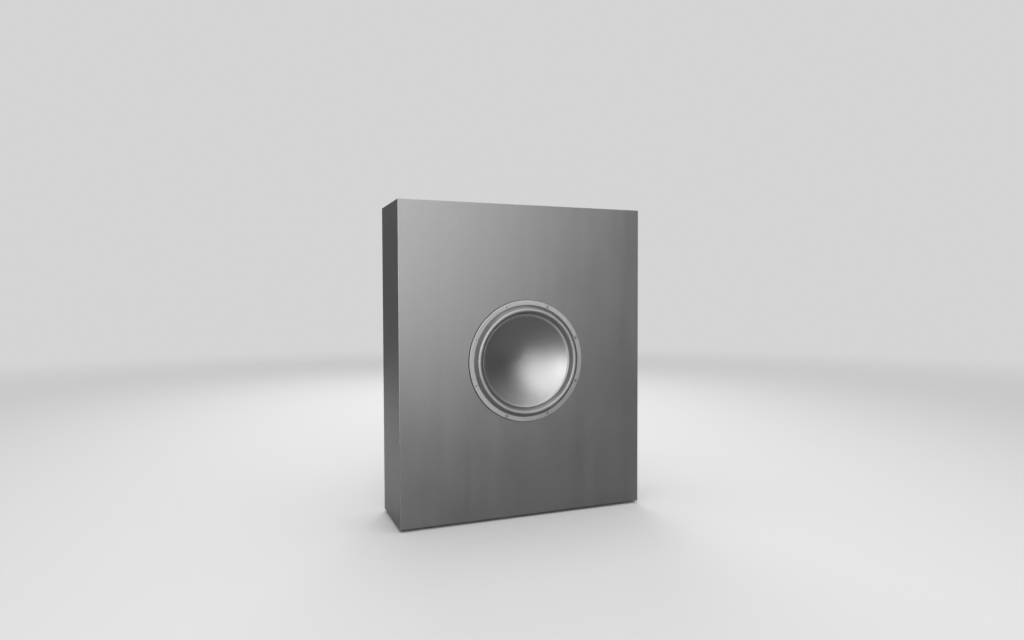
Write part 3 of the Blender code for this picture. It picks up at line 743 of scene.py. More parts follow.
# Zinc-plated steel.
mat = Paint("plated_steel", (0.60, 0.60, 0.59), rough=0.30, metal=1.0)
marks = mat.noise(stretch=(1500, 160, 1500))
film = mat.noise(scale=150, detail=4.0)
mat.shade(marks, low=0.88, high=1.06)
mat.stain(film, start=0.45, end=0.8, to=(0.50, 0.49, 0.44), amount=0.4)
mat.wear(radius=0.0004, start=0.1, end=0.7, to=0.8, amount=0.3)
mat.roughen(film, by=0.22)
mat.roughen(marks, by=0.1)
mat.bump(marks, depth=0.00003, strength=0.35)

# Amplifier screws.
mat = Paint("screw_black", (0.035, 0.035, 0.037), rough=0.38, metal=0.9)
film = mat.noise(scale=900)
mat.shade(film, low=0.8, high=1.3)
mat.wear(radius=0.00025, start=0.12, end=0.7, to=0.30, amount=0.4)
mat.roughen(film, by=0.25)

# Inside the driver screws' sockets: painted shade, a darker grey standing in for the shade deep in each
# socket.
mat = Paint("socket_shade", (0.13, 0.13, 0.128), rough=0.45, metal=0.9)
grease = mat.noise(scale=1100)
mat.shade(grease, low=0.7, high=1.3)
mat.wear(radius=0.00025, start=0.12, end=0.7, to=0.5, amount=0.3)
mat.roughen(grease, by=0.25)

mat = Paint("ferrite", (0.055, 0.056, 0.060), rough=0.66)
grit = mat.noise(scale=1200, detail=4.0, roughness=0.7)
swirl, _ = mat.rings(scale=900, wobble=0.0004)
mat.shade(grit, low=0.7, high=1.35)
mat.wear(radius=0.0006, start=0.1, end=0.6, to=0.14, amount=0.5)
mat.roughen(grit, by=0.25)
mat.roughen(swirl, by=0.15)
mat.bump(grit, depth=0.0001, strength=0.5)

# Enamelled winding wire.
enamel = {"Coat_Weight": 0.5, "Coat_Roughness": 0.15}
mat = Paint("copper", (0.72, 0.30, 0.13), rough=0.30, metal=0.85, **enamel)
tone = mat.noise(scale=260)
fine = mat.noise(scale=1800, detail=2.0)
mat.shade(tone, low=0.75, high=1.15)
mat.shade(fine, low=0.9, high=1.08)
mat.roughen(tone, by=0.2)
mat.bump(fine, depth=0.00005, strength=0.4)

plain_paint(
    "tinsel", (0.62, 0.50, 0.36), rough=0.38, metal=0.9,
    scale=1500, detail=2.0, low=0.6, high=1.2, by=0.25, depth=0.0002, strength=0.6,
)

# Moulded plastic with a fine spark-eroded texture.
mat = Paint("black_plastic", (0.030, 0.030, 0.031), rough=0.44, IOR=1.5)
spark = mat.noise(scale=2300, detail=2.0)
haze = mat.noise(scale=90, detail=4.0)
mat.shade(spark, low=0.8, high=1.25)
mat.stain(haze, start=0.55, end=0.85, to=0.06, amount=0.4)
mat.wear(radius=0.0004, start=0.12, end=0.7, to=0.07, amount=0.5)
mat.roughen(spark, by=0.2)
mat.roughen(haze, by=0.1)
mat.bump(spark, depth=0.00008, strength=0.55)

for name, base in (
    ("plug_red", (0.45, 0.02, 0.015)),
    ("plug_white", (0.72, 0.71, 0.68)),
    ("print_white", (0.62, 0.62, 0.61)),
):
    plain_paint(name, base, rough=0.42, scale=1500, detail=2.0, low=0.9, high=1.08, by=0.2)

plain_paint(
    "gold_plate", (0.78, 0.56, 0.22), rough=0.22, metal=1.0,
    scale=700, low=0.85, high=1.1, by=0.25,
)

coat = {"Coat_Weight": 0.6, "Coat_Roughness": 0.2}
mat = Paint("circuit_green", (0.018, 0.115, 0.05), rough=0.38, **coat)
brick_inputs = {
    "Vector": mat.coord(turn=(pi / 2, 0, 0)), "Scale": 120.0, "Mortar Size": 0.03,
    "Color1": rgba(0.2), "Color2": rgba(0.8), "Mortar": rgba(0),
}
brick = mat.node("ShaderNodeTexBrick", brick_inputs).outputs["Fac"]
weave = mat.noise(scale=900, detail=2.0)
mat.stain(brick, start=0.2, end=0.8, to=(0.05, 0.22, 0.09), amount=0.6)
mat.shade(weave, low=0.9, high=1.1)
mat.roughen(weave, by=0.15)
mat.bump(brick, depth=0.0001, strength=0.4)

plain_paint(
    "solder", (0.62, 0.63, 0.64), rough=0.28, metal=1.0,
    scale=1800, detail=2.0, low=0.8, high=1.1, by=0.25,
)
plain_paint(
    "cap_sleeve", (0.02, 0.035, 0.09), rough=0.35, Coat_Weight=0.3,
    scale=500, low=0.8, high=1.2, by=0.2, depth=0.0001,
)
plain_paint(
    "tape_yellow", (0.55, 0.40, 0.05), rough=0.40,
    scale=300, low=0.85, high=1.1, by=0.25, depth=0.0002, strength=0.5,
)

mat = Paint(
    "led_lens", (0.10, 0.55, 0.14), rough=0.10, Transmission_Weight=0.55, IOR=1.49,
    Emission_Color=(0.12, 1.0, 0.22, 1.0), Emission_Strength=0.35,
)
mat.roughen(mat.noise(scale=900, detail=2.0), by=0.12)

for name, base in (("cable_red", (0.32, 0.02, 0.015)), ("cable_black", (0.018, 0.018, 0.018))):
    plain_paint(name, base, rough=0.42, scale=900, low=0.85, high=1.12, by=0.2, depth=0.00008)

# ---- cabinet -------------------------------------------------------------------
EDGE_R = 1.5  # rounding of the cabinet's long edges and of the front
SHEET = 1.5  # thickness of the wrap
BORE_R = 121.5  # the driver's opening
BOLT_CIRCLE_R, BOLTS, FIRST_BOLT = 127.0, 8, 22.5
BOLT_HOLE_R = 2.9
BOLT_ANGLES = [radians(FIRST_BOLT + 360 / BOLTS * i) for i in range(BOLTS)]
PANEL_SCREW_X, PANEL_SCREW_Y, PANEL_SCREW_R = 118, 83, 2.3


def bolt_ring(make):
    """A copy of a shape on each bolt place of the driver."""
    places = [(BOLT_CIRCLE_R * cos(a), BOLT_CIRCLE_R * sin(a)) for a in BOLT_ANGLES]
    return joined(*[at(make(), x, y) for x, y in places])


def driver_holes(bore_sides, bolt_sides, depth):
    """Tools for the driver's opening and bolt holes; depth is the bore's, in from the front."""
    bolts = bolt_ring(lambda: prism(circle(BOLT_HOLE_R, bolt_sides), -depth, 20))
    return joined(prism(circle(BORE_R, bore_sides), -depth, 20), bolts)


def panel_screw_holes(sides, x, y, z0, z1):
    return [
        prism(circle(PANEL_SCREW_R, sides, x + sx * PANEL_SCREW_X, y + sy * PANEL_SCREW_Y), z0, z1)
        for sx in (-1, 1)
        for sy in (-1, 1)
    ]


def fascia():
    half_x, half_z, depth = size_mm("front_fascia")
    where = face_frame("front_fascia", FRONT_Y, 90)
    outline = rounded_rect(half_x, half_z, EDGE_R)
    board = prism(outline, -depth, 0, EDGE_R, 5, both_ends=False)
    offset = (where.inverted() @ DRIVER).translation
    board = cut(board, at(driver_holes(192, 24, depth=20), *offset))
    piece("fascia_skin", board, where, "satin_aluminium", "front_fascia")


def sleeve():
    """Sheet folded round the four sides, with a hole under each foot."""
    lo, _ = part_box("outer_sleeve")
    half_x, half_z, depth = size_mm("outer_sleeve")
    where = face_frame("outer_sleeve", lo.y, 90)
    wrap = prism(rounded_rect(half_x, half_z, EDGE_R), -depth, 0, 0.25, 2)
    inside = rounded_rect(half_x - SHEET, half_z - SHEET, 0.2, 2)
    wrap = cut(wrap, prism(inside, -depth - 10, 10))
    holes = []
    for i in range(1, 5):
        foot = mid(f"foot_{i}")
        place = where.inverted() @ Vector((foot.x, foot.y, lo.z))
        upright = Matrix.Translation(place) @ rotation(90, "X")
        holes.append(moved(prism(circle(6, 32), -4, 4), upright))
    piece("sleeve_skin", cut(wrap, *holes), where, "satin_aluminium", "outer_sleeve")


def rear_board():
    half_x, half_z, _ = size_mm("rear_panel")
    where = face_frame("rear_panel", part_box("rear_panel")[1].y, -90)
    board = prism(rounded_rect(half_x, half_z, 0.8, 3), -16, 0, 0.7, 3, both_ends=False)
    x, y, _ = (where.inverted() @ AMP).translation
    opening = prism(rounded_rect(112, 77, 2, 4, x, y), -40, 20)
    board = cut(board, opening, *panel_screw_holes(16, x, y, -40, 20))
    piece("rear_board", board, where, "painted_board", "rear_panel")


def brace_windows(node):
    """Three tall round-ended windows, one above the other."""
    middle = mid(node)
    windows = []
    for z in (-215, 0, 215):
        outline = arc(0, 52, 36, 0, 180, 24) + arc(0, -52, 36, 180, 360, 24)
        height = mid("side_board_left").z / MM + z
        window = moved(prism(outline, -20, 20), ALONG_X)
        windows.append(at(window, middle.x / MM, middle.y / MM, height))
    return windows


def inner_board(node):
    lo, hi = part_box(node)
    board = box([c / MM for c in lo], [c / MM for c in hi], 0.35, 2)
    if node.startswith("brace"):
        board = cut(board, *brace_windows(node))
    if node == "baffle_board":
        bore = prism(circle(BORE_R, 128), -40, 20)
        bolts = bolt_ring(lambda: prism(circle(BOLT_HOLE_R, 20), -40, 20))
        board = cut(board, moved(joined(bore, bolts), WORLD.inverted() @ DRIVER))
    if node == "bottom_board":
        feet = [mid(f"foot_{i}") / MM for i in range(1, 5)]
        board = cut(board, *[prism(circle(4.4, 24, foot.x, foot.y), -5, 40) for foot in feet])
    piece(node + "_fibreboard", board, WORLD, "board_wood", node)


fascia()
sleeve()
rear_board()
for node in (
    "side_board_left", "side_board_right", "top_board", "bottom_board", "baffle_board",
    "brace_left", "brace_right",
):
    inner_board(node)


# ---- feet ----------------------------------------------------------------------
def foot(i):
    """A rubber pad, a knurled steel cup and a threaded stud, z up from the ground."""
    lo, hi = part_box(f"foot_{i}")
    r = (hi.x - lo.x) / 2 / MM
    height = (hi.z - lo.z) / MM
    pad_profile = [
        (0, 0.0), (6, 0.0), (6.6, 0.5), (r - 1.6, 0.5, 0.3), (r - 1.4, 0.0, 0.4),
        (r - 0.6, 0.0, 0.5), (r, 0.8, 0.6), (r, 2.2, 0.2), (0, 2.2),
    ]
    cup_profile = [
        (0, 2.2), (r - 0.2, 2.2, 0.15), (r - 0.2, 4.2, 0.5), (5.5, 4.2, 0.2),
        (5.5, 4.6, 0.1), (0, 4.6),
    ]

    def knurled(angle, radius, z):
        hollow = radius > r - 0.6 and int(angle / (2 * pi) * 96) % 2
        return radius - (0.25 if hollow else 0.0), z

    pad = lathe(fillet(pad_profile), 96)
    cup = lathe(fillet(cup_profile), 96, knurled)
    stud = thread(3.4, 3.95, height - 0.4, 4.6, 1.5, 40)
    where = frame_at(((lo.x + hi.x) / 2, (lo.y + hi.y) / 2, lo.z))
    piece(
        f"foot_{i}_assembly", joined(pad, painted(cup, 1), painted(stud, 1)), where,
        ("foot_rubber", "plated_steel"), f"foot_{i}", f"foot_{i}_screwed",
    )


for i in range(1, 5):
    foot(i)

# ---- driver --------------------------------------------------------------------
FLANGE_R, FLANGE_IN_R, FLANGE_FRONT = 132.6, 122.4, 4.8
# profiles below are (radius, height, rounding)
RING_PROFILE = [
    (FLANGE_IN_R, FLANGE_FRONT, 0.45), (FLANGE_R, FLANGE_FRONT, 1.0), (FLANGE_R, 1.3, 0.15),
    (120.6, 1.3, 0.15), (120.6, -16, 0.6), (116.5, -16, 0.6), (116.5, 2.6, 0.5),
    (FLANGE_IN_R, 2.6, 0.15),
]
COUNTERSINK = [(0, 6), (4.95, 6), (4.15, FLANGE_FRONT), (BOLT_HOLE_R, 3.1), (BOLT_HOLE_R, 0), (0, 0)]
SEAT_PROFILE = [
    (76.5, -46, 0.5), (76.5, -57, 1.5), (64, -66, 1.5), (44, -66, 0.5), (44, -62, 0.5),
    (60, -62, 1.2), (66, -50, 0.8), (74, -50, 0.4), (74, -46, 0.5),
]
RIB_SECTION = [
    (-8, -2.5, 0.8), (8, -2.5, 0.8), (8, 0.6, 0.8), (2.4, 1.0, 0.8), (1.6, 4.2, 0.7),
    (-1.6, 4.2, 0.7), (-2.4, 1.0, 0.8), (-8, 0.6, 0.8),
]
RIBS = 6
RIB_START, RIB_END = Vector((118.4, 0, -12.0)), Vector((72.0, 0, -56.0))
# the foam is a little larger than the ring and squeezes out round it; this dark rim is painted shade,
# standing in for the shadow round the flange
GASKET_PROFILE = [
    (121.9, 0.3, 0.1), (132.2, 0.3, 0.3), (133.3, 0.1, 0.3), (133.8, 0.6, 0.4),
    (133.2, 1.15, 0.3), (132.4, 0.98, 0.2), (121.9, 0.98, 0.1),
]


def basket():
    """The flange ring and the rear seat, joined by sloping ribs."""
    ring = cut(lathe(fillet(RING_PROFILE, 5), 192), bolt_ring(lambda: lathe(COUNTERSINK, 48)))
    along = RIB_END - RIB_START
    tilt = along.to_track_quat("X", "Z").to_matrix().to_4x4()
    lay = Matrix(((0, 0, 1), (1, 0, 0), (0, -1, 0))).to_4x4()
    ribs = []
    for i in range(RIBS):
        rib = moved(prism(fillet(RIB_SECTION, 3), 0, along.length), lay)
        place = rotation(360 / RIBS * i, "Z") @ Matrix.Translation(RIB_START) @ tilt
        ribs.append(painted(moved(rib, place), 1))
    shape = fused(ring, *ribs, painted(lathe(fillet(SEAT_PROFILE)), 1))
    materials = "cast_aluminium", "basket_casting"
    piece("driver_basket_casting", shape, DRIVER, materials, "driver_basket")


basket()
gasket = lathe(fillet(GASKET_PROFILE, 3), 192)
gasket = cut(gasket, bolt_ring(lambda: prism(circle(3.2, 24), -3, 5)))
piece("driver_gasket_foam", gasket, DRIVER, "foam", "driver_gasket")


def axis_distance(co):
    place = DRIVER.inverted() @ co
    return hypot(place.x, place.y)


def clamped(t):
    return max(0.0, min(1.0, t))


def smooth(t):
    t = clamped(t)
    return t * t * (3 - 2 * t)


# Surround: steep flanks, a narrow, nearly flat crown and a flat lip on each side.
LIP, SURROUND_THICK = 3.3, 0.8
CROWN = LIP + ROLL_HALF + 0.6


def roll_share(co):
    return clamped((ROLL_CENTRE + ROLL_HALF - axis_distance(co)) / (2 * ROLL_HALF))


def surround():
    # the two points at -30 only close the outline for rounding
    line = fillet([
        (97.8, LIP), (103.0, LIP, 0.9), (109.2, CROWN, 3.2), (114.3, CROWN, 3.2),
        (120.5, LIP, 0.9), (122.1, LIP), (122.1, -30), (97.8, -30),
    ], 9)
    line = [p for p in line if p[1] > -20]
    profile = pushed(line, SURROUND_THICK / 2) + pushed(line, -SURROUND_THICK / 2)[::-1]
    piece(
        "surround_roll", lathe(profile, 192), DRIVER, "surround_rubber", "surround",
        angle=50, share=roll_share,
    )


surround()

# Dish: spherical bowl, hollow to the front, with a shallow conical rim.
DISH_FRONT, DISH_R, DISH_THICK = 5.0, 170.0, 1.0
BOWL_R, EDGE_IN, RIM_R = 96.3, 97.5, 101.8
DISH_CENTRE = DISH_FRONT + math.sqrt(DISH_R**2 - EDGE_IN**2)
DISH_STEPS = 56


def bowl(r, radius=DISH_R):
    """Height of the bowl's face at r; the back face has the larger radius."""
    return DISH_CENTRE - math.sqrt(radius**2 - r**2)


def dish():
    back_edge = EDGE_IN - 0.3
    front_r = [BOWL_R * i / DISH_STEPS for i in range(DISH_STEPS + 1)]
    back_r = [back_edge * i / DISH_STEPS for i in range(DISH_STEPS)]
    front = [(r, bowl(r)) for r in front_r]
    back = [(r, bowl(r, DISH_R + DISH_THICK)) for r in back_r]
    rim = fillet([
        front[-1], (96.9, DISH_FRONT - 0.58, 0.8), (RIM_R, DISH_FRONT + 0.45, 0.45),
        (RIM_R, DISH_FRONT - 1.0, 0.35), (back_edge, DISH_FRONT - 1.0),
    ], 6)
    shape = lathe(front[:-1] + rim + back[::-1], 256)
    piece("cone_dish_spun", shape, DRIVER, "cone_metal", "cone_dish", "moving_cone", angle=12)


def former():
    """The coil's tube, with eight round vents behind the dish."""
    inner, outer = 25.6, 26.1
    top = bowl(26.0, DISH_R + DISH_THICK) - 0.4
    profile = [(inner, top, 0.1), (outer, top, 0.1), (outer, -88, 0.1), (inner, -88, 0.1)]
    vents = []
    for k in range(8):
        place = rotation(45 * k, "Z") @ Matrix.Translation((0, 0, top - 12)) @ rotation(90, "Y")
        vents.append(moved(prism(circle(2.2, 20), 20, 32), place))
    piece(
        "coil_former_tube", cut(lathe(fillet(profile, 2), 96), *vents), DRIVER, "former_sheet",
        "coil_former", "moving_cone",
    )


def voice_coil():
    top, length, turns, inner = -56.0, 30.0, 44, 26.4
    wire = length / turns
    profile = [(inner, top)]
    for k in range(turns):
        centre = top - length * k / turns - wire / 2
        for degrees in (160, 120, 90, 60, 20):
            a = radians(degrees)
            profile.append((28.06 + 0.34 * sin(a), centre + wire / 2 * cos(a)))
    profile.append((inner, top - length))
    shape = lathe(profile, 96)
    piece("voice_coil_winding", shape, DRIVER, "copper", "voice_coil", "moving_cone", angle=80)


dish()
former()
voice_coil()


# Spider: five rounded corrugations between the former and the seat.
def spider_share(co):
    return smooth((66.0 - axis_distance(co)) / (66.0 - 30.0))


def spider():
    inner, outer, wave_in, wave_out, height = 26.4, 73.6, 33, 66, -49.3
    line = []
    for k in range(97):
        r = inner + (outer - inner) * (k / 96)
        rise = 0.0
        if wave_in < r < wave_out:
            u = (r - wave_in) / (wave_out - wave_in)
            rise = 1.35 * sin(u * 2 * pi * 5) * min(1, u * 6, (1 - u) * 6) + 0.25
        line.append((r, height + rise))
    shape = lathe(pushed(line, 0.35) + pushed(line, -0.3)[::-1])
    piece(
        "spider_corrugated", shape, DRIVER, "spider_cloth", "spider",
        angle=60, share=spider_share,
    )


spider()

# The motor's turned rings: name, material, node, profile.
for name, material, node, profile in (
    ("top_plate_steel", "plated_steel", "top_plate",
     [(29.2, -66.3, 0.4), (62, -66.3, 0.8), (62, -76.3, 0.8), (29.2, -76.3, 0.4)]),
    ("magnet_ferrite", "ferrite", "magnet_ring",
     [(36, -76.6, 0.5), (67, -76.6, 1.6), (67, -104.6, 1.6), (36, -104.6, 0.5)]),
    ("pole_yoke_steel", "plated_steel", "pole_yoke",
     [(8, -63, 1.0), (25, -63, 1.2), (25, -104.9, 1.0), (62, -104.9, 0.6), (62, -114.9, 1.2),
      (8, -114.9, 1.5)]),
):
    piece(name, lathe(fillet(profile)), DRIVER, material, node)


def terminal_block():
    """A moulded carrier with two pierced tabs and a disc above each."""
    parts = [box((-13, -83, -60), (13, -77.2, -44), 0.8, 3)]
    for x in (-9, 4):
        outline = [(x, -92, 1.0), (x + 5, -92, 1.0), (x + 5, -81), (x, -81)]
        tab = prism(fillet(outline, 3), -54, -53.2, 0.12)
        hole = prism(circle(0.9, 20, x + 2.5, -88.5), -60, -50)
        disc = lathe(fillet([(0, -43.3), (1.6, -43.3, 0.3), (1.6, -44.2), (0, -44.2)], 3), 32)
        parts.append(painted(cut(tab, hole), 1))
        parts.append(painted(at(disc, x + 2.5, -80.1), 1))
    materials = "black_plastic", "gold_plate"
    piece("terminal_block_moulding", joined(*parts), DRIVER, materials, "terminal_block")


terminal_block()


# Tinsel leads: three strands each, slack between the dish and the terminals.
def lead_share(co):
    return smooth(((DRIVER.inverted() @ co).y + 76) / (76 - 30))


for tag, x in (("a", -5.5), ("b", 5.5)):
    path = [
        (x, -27.4, -38), (x * 1.1, -40, -34.5), (x * 1.3, -58, -35.5), (x * 1.35, -74, -40),
        (x * 1.35, -79.6, -42.4),
    ]
    strands = [
        strand(path, 0.40, sides=10, steps=40, wind=0.42, turns=14, phase=2 * pi * k / 3)
        for k in range(3)
    ]
    piece(
        f"tinsel_lead_{tag}", joined(*strands), DRIVER, "tinsel", f"lead_wire_{tag}",
        angle=60, share=lead_share,
    )


def driver_screw(i, angle):
    """Countersunk, with a hexagon socket."""
    profile = [
        (0, 4.6), (3.75, 4.6, 0.15), (3.75, 4.25, 0.12), (2.45, 2.9, 0.3), (2.45, -2.5), (0, -2.5),
    ]
    # the socket's faces take material 1, the painted shade
    head = cut(lathe(fillet(profile, 3), 48), painted(prism(circle(1.75, 6, turn=angle), 2.4, 8), 1))
    head = cut(head, lathe([(0, 4.25), (1.72, 4.25), (2.2, 4.9), (0, 4.9)], 24))
    shank = pointed_shank(1.7, 2.45, -2.5, -22.5, 2.0, tip_radius=1.6, sides=32)
    where = shifted(DRIVER, BOLT_CIRCLE_R * cos(angle), BOLT_CIRCLE_R * sin(angle))
    materials = "plated_steel", "socket_shade"
    piece(f"driver_screw_{i}_socket", joined(head, shank), where, materials, f"driver_screw_{i}")


for i, angle in enumerate(BOLT_ANGLES, 1):
    driver_screw(i, angle)

# ---- amplifier panel -----------------------------------------------------------
VOLUME, CROSSOVER = amp_spot("volume_knob"), amp_spot("crossover_knob")
PHASE, LED = amp_spot("phase_switch"), amp_spot("status_led")
RCA, INLET, POWER = amp_spot("rca_block"), amp_spot("mains_inlet"), amp_spot("switch_bezel")
PANEL_HALF_X, PANEL_HALF_Y = 125.0, 90.0
RCA_OFFSET = 9  # each line socket from the middle of the pair

panel_holes = [
    circle(3.8, 40, *VOLUME), circle(3.8, 40, *CROSSOVER), circle(1.85, 32, *LED),
    circle(4.6, 40, RCA[0] - RCA_OFFSET, RCA[1]), circle(4.6, 40, RCA[0] + RCA_OFFSET, RCA[1]),
    rounded_rect(4.2, 1.9, 0.5, 4, *PHASE), rounded_rect(13.4, 22.4, 1.0, 4, *INLET),
    rounded_rect(7.0, 10.1, 0.8, 4, *POWER),
]
plate = prism(rounded_rect(PANEL_HALF_X, PANEL_HALF_Y, 6.0, 12), -3.0, 0, 0.35, 3)
cutters = [prism(outline, -8, 5) for outline in panel_holes]
plate = cut(plate, *cutters, *panel_screw_holes(32, 0, 0, -8, 5))
piece("amp_panel", plate, AMP, "black_metal", "amp_plate")

# Printed marks: dial scales with numbers, and a line round each group.
PRINT_Z0, PRINT_Z1 = 0.02, 0.07
NUMERAL_SIZE = 2.6


def tick(x, y, angle, end, width):
    start, half = 11.2, width / 2
    bar = prism([(start, -half), (end, -half), (end, half), (start, half)], PRINT_Z0, PRINT_Z1)
    return moved(bar, Matrix.Translation((x, y, 0)) @ Matrix.Rotation(angle, 4, "Z"))


def frame_line(x, y, half_x, half_y, radius, width):
    outer = rounded_rect(half_x, half_y, radius, 6, x, y)
    inner = rounded_rect(half_x - width, half_y - width, radius - width, 6, x, y)
    return cut(prism(outer, PRINT_Z0, PRINT_Z1), prism(inner, -1, 1))


def numeral(text, x, y):
    """A number, upright for someone behind the cabinet."""
    curve = bpy.data.curves.new("numeral", "FONT")
    curve.body, curve.size = text, NUMERAL_SIZE
    curve.align_x = curve.align_y = "CENTER"
    curve.extrude = (PRINT_Z1 - PRINT_Z0) / 2
    curve.resolution_u = 3
    obj = new_object("numeral", curve)
    mesh = evaluated_mesh(obj)
    bm = bmesh.new()
    bm.from_mesh(mesh)
    bpy.data.objects.remove(obj, do_unlink=True)
    bpy.data.curves.remove(curve)
    bpy.data.meshes.remove(mesh)
    bmesh.ops.remove_doubles(bm, verts=bm.verts[:], dist=1e-5)
    # panel x runs to the reader's left and panel y runs down
    height = (PRINT_Z0 + PRINT_Z1) / 2
    return moved(bm, Matrix(((-1, 0, 0, x), (0, -1, 0, y), (0, 0, 1, height), (0, 0, 0, 1))))


def dial_scale(x, y, labels):
    """Eleven ticks, clockwise for the reader from lower left; every other one is numbered."""
    marks = []
    for k in range(11):
        turn = radians(-150 + 30 * k)
        angle = math.atan2(-cos(turn), -sin(turn))
        if k % 2:
            marks.append(tick(x, y, angle, end=12.2, width=0.32))
        else:
            marks.append(tick(x, y, angle, end=12.9, width=0.45))
            marks.append(numeral(labels[k // 2], x + 15.0 * cos(angle), y + 15.0 * sin(angle)))
    return marks


marks = dial_scale(*VOLUME, ("0", "2", "4", "6", "8", "10"))
marks += dial_scale(*CROSSOVER, ("40", "60", "80", "100", "120", "140"))
marks.append(frame_line((VOLUME[0] + CROSSOVER[0]) / 2, VOLUME[1], 37.5, 19.0, 2.0, 0.35))
marks.append(frame_line(*RCA, 22, 10.5, 2.0, 0.35))
marks.append(numeral("0", PHASE[0] + 7.2, PHASE[1]))
marks.append(numeral("180", PHASE[0] - 8.0, PHASE[1]))
marks.append(frame_line(*PHASE, 12.4, 5.2, 1.5, 0.3))
piece("panel_marks", joined(*marks), AMP, "print_white", angle=20)


# Rotary controls: a can behind the panel, a split shaft and a fluted knob.
def fluted(angle, r, h):
    if 9.0 < r + 0.001 and 1.2 < h < 7.4:
        return r - 0.28 * (0.5 + 0.5 * cos(angle * 36)) ** 0.7, h
    return r, h


def control(tag, spot):
    where = shifted(AMP, *spot)
    body = f"{tag}_control"
    can_profile = [
        (3.15, 0.2, 0.1), (3.5, 0.2, 0.15), (3.5, -3.4), (8.2, -3.4, 0.4), (8.2, -13.4, 0.6),
        (3.15, -13.4, 0.1),
    ]
    lugs = [
        moved(box((-1.0, 8.0, -12.6), (1.0, 12.5, -12.1), 0.1, 2), rotation(25 * k, "Z"))
        for k in (-1, 0, 1)
    ]
    can = joined(lathe(fillet(can_profile, 3), 64), *lugs)
    piece(f"{tag}_pot_can", can, where, "plated_steel", f"{tag}_pot")

    shaft = lathe(fillet([(0, -12.5), (2.95, -12.5, 0.3), (2.95, 6.9, 0.4), (0, 6.9)], 3), 48)
    shaft = cut(shaft, box((-0.5, -4, 2.0), (0.5, 4, 9)))
    piece(f"{tag}_shaft_split", shaft, where, "plated_steel", f"{tag}_shaft", body)

    cap = fillet([(0, 8.2), (7.2, 8.2, 0.5), (7.6, 8.7, 0.2), (8.6, 8.7, 0.5), (9.35, 7.9, 0.4)])
    side = [(9.4 + 0.8 * (7.9 - h) / 7.2, h) for h in np.linspace(7.5, 1.1, 14)]
    under = fillet([(10.2, 0.7, 0.3), (3.1, 0.7, 0.2), (3.1, 7.2), (0, 7.2)], 3)
    groove = [(-0.5, -9.7, 0.2), (0.5, -9.7, 0.2), (0.5, -3.2, 0.45), (-0.5, -3.2, 0.45)]
    knob = cut(lathe(cap + side + under, 288, fluted), prism(fillet(groove, 3), 7.9, 10))
    pointer = [(-0.42, -8.9, 0.1), (0.42, -8.9, 0.1), (0.42, -3.4, 0.38), (-0.42, -3.4, 0.38)]
    knob = joined(knob, painted(prism(fillet(pointer, 3), 7.6, 8.28, 0.08), 1))
    materials = "black_plastic", "print_white"
    piece(f"{tag}_knob_fluted", knob, where, materials, f"{tag}_knob", body)


control("volume", VOLUME)
control("crossover", CROSSOVER)


def heat_sink():
    """A comb section with upright fins, rounded at their tips."""
    fins, half, proud, fin, root = 13, 100.0, 9.0, 2.4, 3.4
    pitch = 200.0 / fins
    comb = [(-half, 0.3), (half, 0.3)]
    for i in range(fins):
        x = half - i * pitch
        comb += [(x, proud, 0.9), (x - fin, proud, 0.9), (x - fin, root, 0.8)]
        if i < fins - 1:
            comb.append((x - pitch, root, 0.8))
    comb.append((-half, root, 0.4))
    swap_yz = Matrix(((1, 0, 0), (0, 0, 1), (0, 1, 0))).to_4x4()
    shape = moved(prism(fillet(comb, 3), -26, 26, 0.15, 1), swap_yz)
    piece("heat_sink_comb", at(shape, 0, amp_spot("heat_sink")[1]), AMP, "black_metal", "heat_sink")


heat_sink()
cover = box((-110, -75, -56.8), (110, 75, -3.3), 1.2, 3)
cover = cut(cover, box((-108.5, -73.5, -55.3), (108.5, 73.5, 10), 0.6, 2))
piece("amp_cover_box", cover, AMP, "black_metal", "amp_cover")


def circuit_board():
    """The board with its parts on the side away from the panel."""
    sleeve_index, metal, plastic = 1, 2, 3
    can_profile = [
        (0, -15.4), (8.0, -15.4, 0.4), (8.0, -17.6, 0.3), (7.6, -18.2, 0.3), (8.0, -18.8, 0.3),
        (8.0, -42.0, 0.8), (0, -42.0),
    ]
    cap_profile = [(0, -42.0), (6.6, -42.0, 0.1), (6.6, -42.15), (0, -42.15)]
    parts = [prism(rounded_rect(74, 61, 1.5, 4, -30, 1), -15.4, -13.8, 0.12, 1)]
    for x, y in ((-92, 44), (-70, 44), (12, 46), (32, 46)):  # capacitors
        parts.append(painted(at(lathe(fillet(can_profile, 3), 48), x, y), sleeve_index))
        parts.append(painted(at(lathe(fillet(cap_profile, 2), 48), x, y), metal))
    for k in range(6):  # a row of tall blocks
        block = box((-7, -2.3, -30), (7, 2.3, -15.4), 0.3, 2)
        parts.append(painted(at(block, -96 + 25 * k, -48), plastic))
    for k in range(16):  # a staggered row of small chips
        chip = box((-1.6, -0.8, -16.4), (1.6, 0.8, -15.4), 0.15, 1)
        chip = at(chip, -98 + 8.4 * k, -34 + 4 * (k % 2))
        parts.append(painted(chip, plastic if k % 3 else metal))
    for x, y in ((22, 8), (22, -18), (36, -18)):  # square chips with six legs a side
        parts.append(painted(box((x - 5, y - 5, -17.2), (x + 5, y + 5, -15.5), 0.2, 2), plastic))
        for k in range(6):
            for side in (-1, 1):
                leg_x, leg_y = x + side * 6.0, y - 4.2 + 1.6 * k
                lo, hi = (leg_x - 1.0, leg_y, -16.2), (leg_x + 1.0, leg_y + 0.6, -15.42)
                parts.append(painted(box(lo, hi, 0.08, 1), metal))
    materials = "circuit_green", "cap_sleeve", "solder", "black_plastic"
    piece("circuit_board_loaded", joined(*parts), AMP, materials, "circuit_board")


circuit_board()


